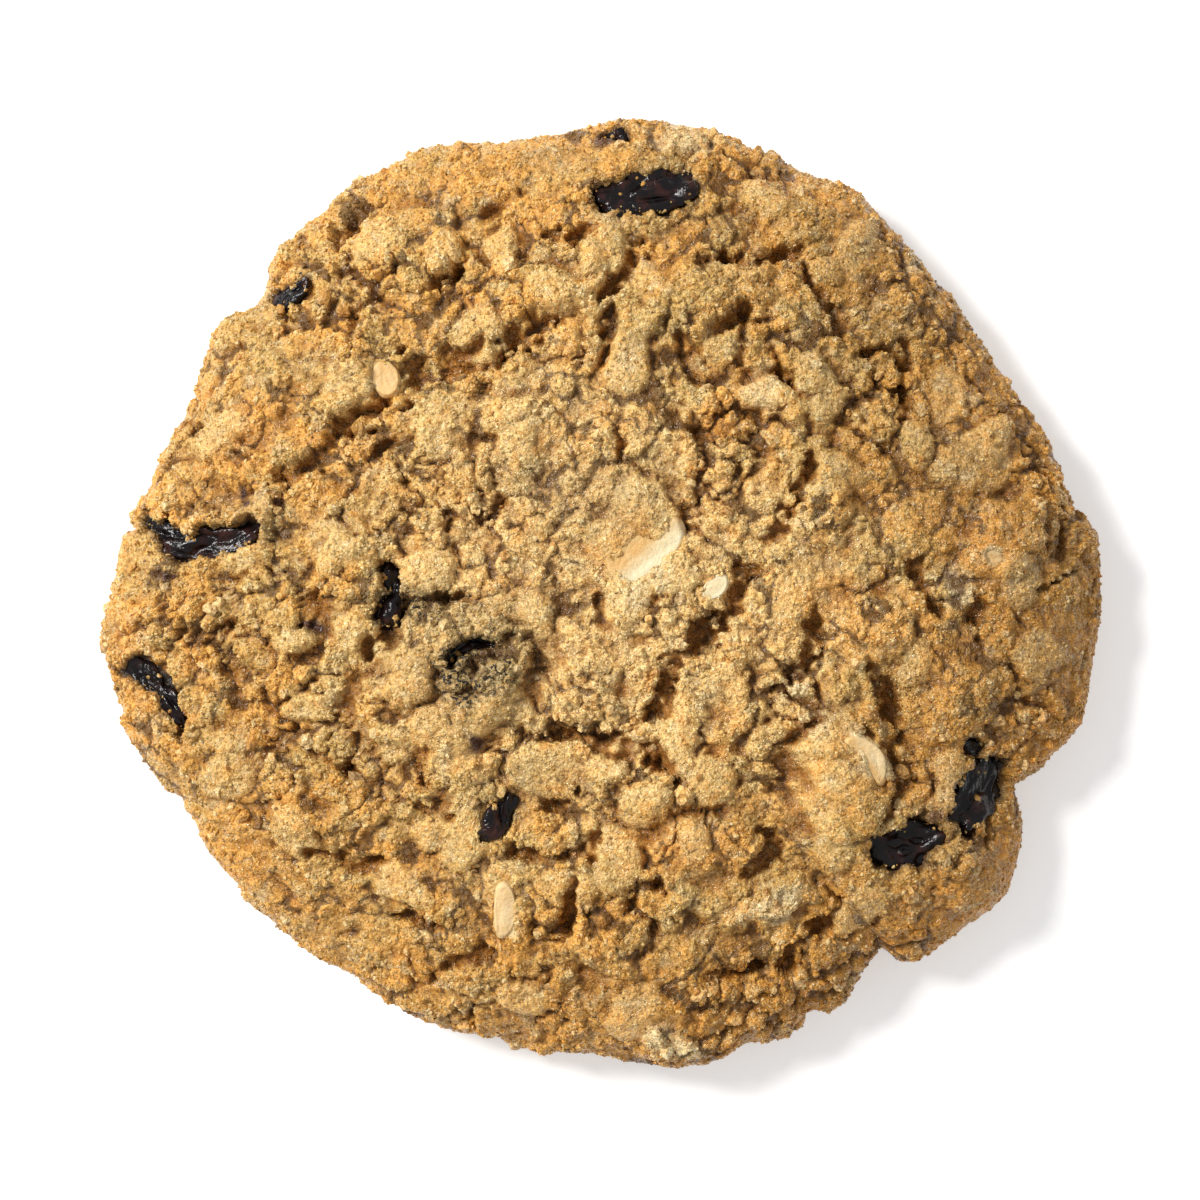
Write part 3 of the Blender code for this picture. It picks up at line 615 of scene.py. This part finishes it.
def disc(rings):
    """A middle point and rings, given by their numbers of points and shares: the points' shares
    and angles, the faces and the last ring."""
    share, angle, faces = [np.zeros(1)], [np.zeros(1)], []
    before, start = [0], 1
    for count, reach in rings:
        share.append(np.full(count, reach))
        angle.append(np.arange(count) * (2 * math.pi / count))
        ring = list(range(start, start + count))
        if len(before) == 1:
            faces += [(0, ring[k], ring[(k + 1) % count]) for k in range(count)]
        else:
            faces += stitch(before, ring)
        before, start = ring, start + count
    return np.concatenate(share), np.concatenate(angle), faces, before


def dome_points(share, angle):
    """The plain dome and side at each share of the way from crown to foot, and its normals."""
    reach, height = meridian(share)
    radius = outline_radius(angle)
    step = 1e-3
    ahead, behind = meridian(np.minimum(share + step, 1)), meridian(np.maximum(share - step, 0))
    run, rise = (ahead[0] - behind[0]) * radius, ahead[1] - behind[1]
    size = np.hypot(run, rise)
    out = np.stack([np.cos(angle), np.sin(angle), np.zeros_like(angle)], axis=1)
    normal = out * (-rise / size)[:, None]
    normal[:, 2] = run / size
    points = out * (reach * radius)[:, None]
    points[:, 2] = height
    return points, normal


def map_places(share, angle, disc_map):
    """Places in the colour map, on a disc with its own middle and radius."""
    middle, radius = disc_map
    out = np.stack([np.cos(angle), np.sin(angle)], axis=1)
    return middle + out * (radius * share)[:, None]


def dough_top():
    """The baked surface from crown to foot: points, faces, foot's ring, map places and gaps."""
    share, angle, faces, foot = disc([(6 * k, k / TOP_RINGS) for k in range(1, TOP_RINGS + 1)])
    points, normal = dome_points(share, angle)
    calm = np.clip(points[:, 2] / FOOT_FADE, 0, 1)
    calm = calm * (RIM_RELIEF + (1 - RIM_RELIEF) * normal[:, 2] ** 2)
    rise, gap = relief(points)
    points = points + normal * (rise * calm)[:, None]
    points[foot, 2] = 0.0
    return points, faces, foot, map_places(share, angle, TOP_MAP), gap


def dough_under(foot_points):
    """The underside inside the foot's ring: points, faces, its last ring and map places."""
    rings = [(6 * k, UNDER_REACH * k / UNDER_RINGS) for k in range(1, UNDER_RINGS + 1)]
    share, angle, faces, last = disc([*rings, *FOOT_RINGS, (len(foot_points), 1.0)])
    reach = outline_radius(angle) * FOOT_SHARE * share
    points = np.stack([reach * np.cos(angle), reach * np.sin(angle), np.zeros_like(angle)], axis=1)
    pores = 0.5 + 0.5 * wave(points, 1.6, 51)
    edge = np.clip((1 - share) / UNDER_FADE, 0, 1)
    points[:, 2] = UNDER_RECESS * pores * edge
    return points, faces, last, map_places(share, angle, UNDER_MAP)


def mesh_object(name, points, faces, material, smooth=True):
    """An object from points in millimetres and triangles."""
    mesh = bpy.data.meshes.new(name)
    faces = np.asarray(faces, np.int32)
    mesh.vertices.add(len(points))
    mesh.vertices.foreach_set("co", (np.asarray(points) * MM).ravel())
    mesh.loops.add(faces.size)
    mesh.loops.foreach_set("vertex_index", faces.ravel())
    mesh.polygons.add(len(faces))
    mesh.polygons.foreach_set("loop_start", np.arange(len(faces), dtype=np.int32) * faces.shape[1])
    mesh.update(calc_edges=True)
    mesh.materials.append(material)
    if smooth:
        mesh.shade_smooth()
    else:
        mesh.shade_flat()
    thing = bpy.data.objects.new(name, mesh)
    bpy.context.collection.objects.link(thing)
    return thing


def paint(thing, name, values):
    """Stores one number for each vertex, which the material reads by that name."""
    layer = thing.data.attributes.new(name, "FLOAT", "POINT")
    layer.data.foreach_set("value", np.asarray(values, np.float32))


def spread(thing, corners):
    """Lays the mesh out flat for colour maps: one place in the unit square for each corner."""
    layer = thing.data.uv_layers.new(name="OFBake")
    layer.data.foreach_set("uv", corners.astype(np.float32).ravel())


def settle(values, faces, rounds):
    """The values, averaged with their neighbours again and again."""
    start = faces.ravel()
    end = np.roll(faces, -1, axis=1).ravel()
    both, other = np.concatenate([start, end]), np.concatenate([end, start])
    count = np.bincount(both, minlength=len(values))
    for _ in range(rounds):
        around = np.bincount(both, weights=values[other], minlength=len(values))
        values = (values + around) / (count + 1)
    return values


def dough_tones(points, faces):
    """What the dough's material reads at each point, by name. The foot and the underside, which
    lay on the baking tray, are evenly brown."""
    height = points[:, 2]
    top = smooth_step(*TRAY_FADE, height)
    proud = height - settle(height, faces, SETTLING)
    angle = np.arctan2(points[:, 1], points[:, 0])
    share = np.hypot(points[:, 0], points[:, 1]) / outline_radius(angle)
    share = share + layers(points, BAKED_RIM)
    # the rim's own browning, faded toward the key light's side, which is painted light
    bake_and_lit_side = smooth_step(0.55, 1.0, share) * (0.62 - 0.38 * np.cos(angle - LIT_SIDE))
    # painted shade: the rim grows darker toward the side away from the key light; the foot and the
    # underside count as darker tray-brown dough
    shade_and_tray_brown = smooth_step(0.5, 0.75, share) - 0.7 * smooth_step(0.85, 1.0, share)
    shade_and_tray_brown = shade_and_tray_brown * np.clip(np.cos(angle - SHADE_SIDE), 0, 1)
    return {
        "proud": np.clip(proud, -1, 1),
        "heart": (1 - smooth_step(0.2, 0.7, share)) * top,
        "bake_and_lit_side": np.maximum(bake_and_lit_side, 1 - top),
        "shade_and_tray_brown": np.maximum(shade_and_tray_brown, 1.2 * (1 - top)),
        "stain": patch_share(points, STAINS, 73) * top,
        "toast": patch_share(points, TOASTS, 74) * top,
        "pale": patch_share(points, PALES, 75) * top,
        "speck": patch_share(points, SPECKS, 77) * top,
        "flake": flake_share(points) * top,
        "calm": calm_share(points),
        "fruit": np.max(list(bare_shares(points, RAISINS, NEST_MARGIN).values()), axis=0),
        "cream": np.max(list(bare_shares(points, CHOCOLATE, CREAM_MARGIN).values()), axis=0),
    }


def make_dough(low, high, material):
    """The whole dough as one closed mesh, kept inside the part's own box."""
    top, faces, foot, top_places, gap = dough_top()
    under, under_faces, last, under_places = dough_under(top[foot])
    shift = len(top)
    number = {k: k + shift for k in range(len(under))}
    for mine, theirs in zip(last, foot):
        number[mine] = theirs
    top_faces = np.array(faces)
    under_faces = np.array(under_faces)[:, [0, 2, 1]]
    faces += [tuple(number[k] for k in face) for face in under_faces]
    points = np.concatenate([top, under[:last[0]]])
    points = np.clip(points, low, high)
    faces = np.array(faces)
    tones = dough_tones(points, faces)
    tones["gap"] = np.concatenate([gap, np.zeros(len(points) - len(gap))])
    dough = mesh_object("baked_dough", points, faces, material)
    spread(dough, np.concatenate([top_places[top_faces], under_places[under_faces]]))
    for name, values in tones.items():
        paint(dough, name, values)
    return dough, points, top_faces, tones


def random_turns(count, draw):
    """Random rotation matrices."""
    q = draw.normal(size=(count, 4))
    w, x, y, z = (q / np.linalg.norm(q, axis=1, keepdims=True)).T
    rows = [1 - 2 * (y * y + z * z), 2 * (x * y - z * w), 2 * (x * z + y * w),
            2 * (x * y + z * w), 1 - 2 * (x * x + z * z), 2 * (y * z - x * w),
            2 * (x * z - y * w), 2 * (y * z + x * w), 1 - 2 * (x * x + y * y)]
    return np.stack(rows, axis=1).reshape(count, 3, 3)


def unit_ball(subdivisions):
    """Points and triangles of a ball of radius 1."""
    ball = bmesh.new()
    bmesh.ops.create_icosphere(ball, subdivisions=subdivisions, radius=1.0)
    points = np.array([v.co[:] for v in ball.verts])
    faces = np.array([[v.index for v in f.verts] for f in ball.faces])
    ball.free()
    return points, faces


def octahedron():
    """Points and triangles of an eight-sided grain of radius 1."""
    points = np.array([(1, 0, 0), (-1, 0, 0), (0, 1, 0), (0, -1, 0), (0, 0, 1), (0, 0, -1)], float)
    faces = np.array([(0, 2, 4), (2, 1, 4), (1, 3, 4), (3, 0, 4),
                      (2, 0, 5), (1, 2, 5), (3, 1, 5), (0, 3, 5)])
    return points, faces


def crust_liking(points, tones):
    """How much more loose crumbs lie on some points of the crust than on others."""
    bare = tones["fruit"] + tones["cream"]
    brink = 0.4 + 3.0 * np.clip(tones["proud"] / 0.4, 0, 1)
    return brink * (1 - 0.7 * tones["calm"]) * (bare < 0.4) * (points[:, 2] > 1.0)


def rim_liking(points):
    """The same on the raisins: mostly along the rim of what shows of each."""
    like = np.zeros(len(points))
    for name in RAISINS:
        outside = edge_distance(points[:, :2], BARE[name])
        like = np.maximum(like, 0.05 * (outside < 0.4) + (np.abs(outside) < 0.4))
    return like * (wave(points, 2.0, 81) > -0.1)


def make_crumbs(name, points, faces, liking, tones, material):
    """Loose crumbs of one kind over a surface, half sunk in it, as one mesh."""
    count, (small, large), bury, seed, roundness = CRUMBS[name]
    draw = np.random.default_rng(seed)
    a, b, c = (points[faces[:, k]] for k in range(3))
    cross = np.cross(b - a, c - a)
    area = np.linalg.norm(cross, axis=1)
    weight = area * liking[faces].mean(axis=1) * (cross[:, 2] > 0)
    chosen = draw.choice(len(faces), count, p=weight / weight.sum())
    shares = draw.dirichlet((1, 1, 1), count)
    normal = cross[chosen] / area[chosen][:, None]
    place = (points[faces[chosen]] * shares[:, :, None]).sum(axis=1)
    size = small + (large - small) * draw.random(count) ** 2
    place -= normal * (bury * size)[:, None]
    ball, ball_faces = unit_ball(roundness) if roundness else octahedron()
    shape = ball * (1 + CRUMB_JITTER * draw.uniform(-1, 1, (count, len(ball), 1)))
    shape = shape * (size[:, None] / 2 * draw.uniform(0.6, 1.25, (count, 3)))[:, None, :]
    shape = np.einsum("nvi,nij->nvj", shape, random_turns(count, draw)) + place[:, None, :]
    numbers = ball_faces[None] + (np.arange(count) * len(ball))[:, None, None]
    shape, numbers = shape.reshape(-1, 3), numbers.reshape(-1, 3)
    crumbs = mesh_object(name, shape, numbers, material, smooth=False)
    spread(crumbs, 0.5 + shape[numbers][..., :2] / MAP_WIDTH)
    for tone, values in tones.items():
        at = (values[faces[chosen]] * shares).sum(axis=1)
        paint(crumbs, tone, np.repeat(at, len(ball)))
    paint(crumbs, "own", np.repeat(draw.random(count), len(ball)))
    return crumbs


def make_morsel(name, form, wrinkle, flat_top, material):
    """A raisin or a piece of chocolate: a bowed ellipsoid with a folded skin and a flatter top,
    which follows the dome."""
    x, y, length, width, thick, heading, bow, lift, *browned_and_shaded = form
    ball, faces = unit_ball(5)
    points = ball * (length / 2, width / 2, thick / 2)
    folds = wobble(points, 2.4, 0.9, x) * (0.35, 1.0, 1.0)
    wide = np.abs(wave(folds, 1.7, x))
    narrow = np.abs(wave(folds, 0.8, y))
    depth = wrinkle * (0.9 * wave(points, 2.6, y) + 1.5 * wide + 0.8 * narrow - 0.6)
    points[:, 2] = np.minimum(points[:, 2], flat_top * thick / 2)
    points = points + ball * depth[:, None]
    points[:, 1] += bow * (2 * points[:, 0] / length) ** 2
    c, s = math.cos(math.radians(heading)), math.sin(math.radians(heading))
    placed = points @ np.array([(c, s, 0), (-s, c, 0), (0, 0, 1)]) + (x, y, lift - thick / 2)
    placed[:, 2] += dome_height(placed[:, 0], placed[:, 1])
    morsel = mesh_object(name, placed, faces, material)
    paint(morsel, "fold", np.clip(0.5 - depth / wrinkle, 0, 1))
    if browned_and_shaded:
        right, left = browned_and_shaded
        across = points[:, 1] / (width / 2)
        paint(morsel, "browned_and_shaded", right + (left - right) * smooth_step(-0.6, 0.1, across))
    return morsel, placed, faces


# ---- materials ----

class Nodes:
    """Short calls for building one material's node tree."""

    def __init__(self, name):
        self.material = bpy.data.materials.new(name)
        self.material.use_nodes = True
        self.tree = self.material.node_tree
        self.shader = self.tree.nodes["Principled BSDF"]
        self.place = self.new("ShaderNodeTexCoord").outputs["Object"]

    def feed(self, node, values):
        """Sets a node's inputs, by name or number, to numbers or colours, or links outputs."""
        for key, value in values.items():
            socket = node.inputs[key]
            if isinstance(value, bpy.types.NodeSocket):
                self.tree.links.new(value, socket)
            elif isinstance(value, tuple):
                socket.default_value = (*value, 1.0)
            else:
                socket.default_value = value

    def new(self, kind, values={}, **settings):
        node = self.tree.nodes.new(kind)
        for name, value in settings.items():
            setattr(node, name, value)
        self.feed(node, values)
        return node

    def read(self, name):
        """What `paint` stored under the name."""
        return self.new("ShaderNodeAttribute", attribute_name=name).outputs["Fac"]

    def noise(self, size, detail, rough=0.5):
        """Noise about 0.5, whose bumps are `size` mm across."""
        values = {"Vector": self.place, "Scale": 1 / (size * MM), "Detail": detail,
                  "Roughness": rough}
        return self.new("ShaderNodeTexNoise", values).outputs["Fac"]

    def cells(self, size, output="Distance"):
        """The distance to the middles of cells `size` mm across, or the cells' colours."""
        values = {"Vector": self.place, "Scale": 1 / (size * MM)}
        return self.new("ShaderNodeTexVoronoi", values).outputs[output]

    def math(self, operation, a, b=0.0):
        return self.new("ShaderNodeMath", {0: a, 1: b}, operation=operation).outputs[0]

    def remap(self, value, low, high, to_low=0.0, to_high=1.0):
        values = {"Value": value, "From Min": low, "From Max": high, "To Min": to_low,
                  "To Max": to_high}
        return self.new("ShaderNodeMapRange", values).outputs["Result"]

    def mix(self, share, a, b, blend="MIX"):
        values = {"Factor": share, "A": a, "B": b}
        node = self.new("ShaderNodeMix", values, data_type="RGBA", blend_type=blend)
        return node.outputs["Result"]

    def bump(self, height, depth):
        """Bumps of up to `depth` mm."""
        normal = self.new("ShaderNodeBump", {"Distance": depth * MM, "Height": height}).outputs[0]
        self.feed(self.shader, {"Normal": normal, "Coat Normal": normal})

    def glow(self, weight, colour):
        self.feed(self.shader, {"Subsurface Weight": weight, "Subsurface Scale": GLOW_REACH * MM})
        self.shader.inputs["Subsurface Radius"].default_value = colour

    def finish(self, colour, roughness):
        self.feed(self.shader, {"Base Color": colour, "Roughness": roughness})
        return self.material


def dough_material(name, loose):
    """Baked dough: mottled, browner at the rim and on lumps, with sugary grain; paler on the rim's
    lit side and lighter on raised points as painted light, with painted glints, and with painted
    shade in cracks, hollows, pores, round the raisins and on the rim's side away from the key
    light.
    """
    n = Nodes(name)
    blotch = n.noise(6.0, 3.0)
    mottle = n.noise(1.8, 4.0, 0.6)
    grain = n.noise(0.42, 3.0, 0.65)
    sugar_glint = n.noise(0.2, 1.0)
    kernel = n.cells(0.6)
    tint = n.cells(0.36, "Color")
    colour = n.mix(n.remap(blotch, 0.42, 0.56), GOLD, OLIVE)
    colour = n.mix(n.math("MULTIPLY", n.read("heart"), 0.85), colour, HEART)
    # browner at the rim, but paler on the rim's lit side, which is painted light
    colour = n.mix(n.read("bake_and_lit_side"), colour, RIM)
    colour = n.mix(n.read("toast"), colour, TOASTED)
    colour = n.mix(n.math("MULTIPLY", n.read("flake"), 0.5), colour, FLAKE)
    colour = n.mix(n.read("pale"), colour, CREAM)
    colour = n.mix(n.remap(mottle, 0.54, 0.68, 0.0, 0.65), colour, TOASTED)
    colour = n.mix(n.remap(mottle, 0.46, 0.32, 0.0, 0.5), colour, CREAM)
    proud = n.read("proud")
    # painted shade: darker and deep brown where the surface lies below its surroundings, in cracks
    # and hollows
    colour = n.mix(n.remap(proud, 0.1, -0.5, 0.0, 0.85), colour, DEEP)
    if loose:
        colour = n.mix(n.remap(n.read("own"), 0.5, 1.0, 0.0, 0.6), colour, CREAM)
        colour = n.mix(n.remap(n.read("own"), 0.25, 0.0, 0.0, 0.6), colour, DEEP)
    stain = n.read("stain")
    colour = n.mix(n.math("MULTIPLY", stain, 0.7), colour, STAINED)
    dots = n.math("MULTIPLY", n.remap(n.noise(0.5, 2.0), 0.53, 0.60), n.remap(stain, 0.4, 0.9))
    colour = n.mix(dots, colour, SPECK_AND_SHADE_BLACK)
    colour = n.mix(n.read("speck"), colour, RUSSET)
    colour = n.mix(n.read("cream"), colour, CREAM)
    # painted shade: the dough in and round each raisin's nest is near black
    colour = n.mix(n.read("fruit"), colour, SPECK_AND_SHADE_BLACK)
    light = n.remap(mottle, 0.25, 0.75, 0.84, 1.16)
    # painted glints: the finest noise lightens the colour in bright specks
    light = n.math("ADD", light, n.remap(sugar_glint, 0.42, 0.74, -0.12, 0.5))
    # painted light on what stands proud and painted shade where it lies low
    light = n.math("ADD", light, n.remap(proud, -0.3, 0.3, -0.10, 0.14))
    # painted shade on the rim's side away from the key light, and the tray-brown foot made darker
    light = n.math("SUBTRACT", light, n.math("MULTIPLY", n.read("shade_and_tray_brown"), 0.26))
    colour = n.mix(1.0, colour, light, "MULTIPLY")
    # painted shade between the grains, where the fine bumps are lowest
    gap = n.math("ADD", n.remap(grain, 0.55, 0.3, 0.0, 0.75), n.remap(kernel, 0.4, 0.8, 0.0, 0.35))
    colour = n.mix(n.math("MINIMUM", gap, 0.85), colour, n.mix(1.0, colour, AMBER_SHADE, "MULTIPLY"))
    # painted shade in tiny pores and in the slabs' narrow gaps
    pore = n.math("MULTIPLY", n.remap(grain, 0.38, 0.32, 0.0, 0.8), n.remap(mottle, 0.56, 0.48))
    slit = n.remap(n.read("gap"), 0.65, 1.0, 0.0, 0.8)
    colour = n.mix(n.math("MAXIMUM", pore, slit), colour, CREVICE_SHADE)
    height = 0.0
    for texture, share in ((grain, 1.3), (kernel, -0.6), (sugar_glint, 0.5), (mottle, 3.0)):
        height = n.math("ADD", height, n.math("MULTIPLY", texture, share))
    n.bump(height, 0.2)
    n.feed(n.shader, {"Coat Weight": n.remap(tint, 0.48, 0.60, 0.05, 1.0),
                      "Coat Roughness": 0.12, "Specular IOR Level": 0.25})
    n.glow(0.2, DOUGH_GLOW)
    return n.finish(colour, n.remap(tint, 0.25, 0.6, 0.3, 0.6))


def raisin_material():
    """Wrinkled dried fruit: nearly black, with a red cast where its skin is thin, and shiny."""
    n = Nodes("raisin_skin")
    patch = n.noise(1.6, 3.0)
    colour = n.mix(n.remap(patch, 0.50, 0.72), FRUIT_BLACK, FRUIT_RED)
    # painted shade: darker in the hollows of the folds
    colour = n.mix(n.remap(n.read("fold"), 0.6, 1.0, 0.0, 0.5), colour, FRUIT_FOLD_SHADE)
    crease = n.math("ABSOLUTE", n.math("SUBTRACT", n.noise(1.2, 2.0), 0.5))
    n.bump(n.math("ADD", n.math("MULTIPLY", crease, 3.0), n.noise(0.45, 3.0, 0.6)), 0.09)
    n.feed(n.shader, {"Specular IOR Level": 0.34})
    return n.finish(colour, n.remap(patch, 0.35, 0.7, 0.08, 0.22))


def chocolate_material():
    """White chocolate: smooth cream, brown toward one side, which on the middle piece is partly
    painted shade.
    """
    n = Nodes("white_chocolate_skin")
    # the oven's brown, and on the middle piece painted shade on one side
    browned_and_shaded = n.math("ADD", n.read("browned_and_shaded"), n.remap(n.noise(1.2, 3.0), 0.3, 0.7, -0.15, 0.15))
    colour = n.mix(n.remap(browned_and_shaded, 0.0, 1.0), WHITE_CREAM, WHITE_BROWNED_AND_SHADED)
    n.bump(n.noise(0.4, 4.0, 0.6), 0.15)
    n.glow(0.3, CREAM_GLOW)
    return n.finish(colour, n.remap(n.noise(0.8, 2.0), 0.3, 0.7, 0.38, 0.6))


# ---- floor, light and camera ----

def make_floor():
    h = FLOOR_HALF
    white = bpy.data.materials.new("floor_white")
    white.use_nodes = True
    inputs = white.node_tree.nodes["Principled BSDF"].inputs
    inputs["Base Color"].default_value = FLOOR_COLOUR
    inputs["Roughness"].default_value = FLOOR_ROUGHNESS
    inputs["Emission Color"].default_value = WHITE
    inputs["Emission Strength"].default_value = FLOOR_GLOW
    white.cycles.emission_sampling = "NONE"
    corners = [(-h, -h, 0), (h, -h, 0), (h, h, 0), (-h, h, 0)]
    mesh_object("floor", corners, [(0, 1, 2, 3)], white)


def make_light():
    a, e = math.radians(KEY_SIDE), math.radians(KEY_ELEVATION)
    place = Vector((math.cos(a) * math.cos(e), math.sin(a) * math.cos(e), math.sin(e)))
    place *= KEY_DISTANCE
    light = bpy.data.lights.new("key_light", "AREA")
    light.size = KEY_SIZE
    light.energy = KEY_POWER
    light.color = KEY_COLOUR
    lamp = bpy.data.objects.new("key_light", light)
    lamp.location = place
    lamp.rotation_euler = (-place).to_track_quat("-Z", "Y").to_euler()
    bpy.context.collection.objects.link(lamp)
    world = bpy.data.worlds.new("studio")
    world.use_nodes = True
    background = world.node_tree.nodes["Background"]
    background.inputs["Color"].default_value = WHITE
    background.inputs["Strength"].default_value = WORLD_STRENGTH
    bpy.context.scene.world = world


def make_camera():
    camera = bpy.data.cameras.new("camera")
    camera.lens = LENS
    camera.sensor_width = SENSOR
    camera.clip_start = 0.01
    eye = bpy.data.objects.new("camera", camera)
    eye.location = Vector(AIM) * MM
    eye.location.z += FRAME_WIDTH * MM * LENS / SENSOR
    bpy.context.collection.objects.link(eye)
    bpy.context.scene.camera = eye


def add_piece(thing):
    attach(thing, "root")


def make_cookie():
    low, high = (np.array(corner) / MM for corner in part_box("dough"))
    dough, points, faces, tones = make_dough(low, high, dough_material("baked_crust", False))
    add_piece(dough)
    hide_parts("dough")
    crumb_material = dough_material("baked_crumb", True)
    liking = crust_liking(points, tones)
    for name in ("fine_crumbs", "sugar_grains", "coarse_crumbs", "crust_chunks"):
        add_piece(make_crumbs(name, points, faces, liking, tones, crumb_material))
    morsels = []
    skin = raisin_material()
    for node, form in RAISINS.items():
        raisin, *shape = make_morsel("dried_" + node, form, RAISIN_WRINKLE, RAISIN_TOP, skin)
        add_piece(raisin)
        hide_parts(node)
        morsels.append(shape)
    cream = chocolate_material()
    for node, form in CHOCOLATE.items():
        chunk, _, _ = make_morsel("toasted_" + node, form, CREAM_WRINKLE, CREAM_TOP, cream)
        add_piece(chunk)
        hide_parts(node)
    size = len(morsels[0][0])
    points = np.concatenate([places for places, _ in morsels])
    faces = np.concatenate([sides + size * k for k, (_, sides) in enumerate(morsels)])
    plain = {tone: np.zeros(len(points)) for tone in tones}
    stuck = make_crumbs("rim_crumbs", points, faces, rim_liking(points), plain, crumb_material)
    add_piece(stuck)


bpy.context.scene.view_settings.view_transform = "Standard"
make_cookie()
make_floor()
make_light()
make_camera()
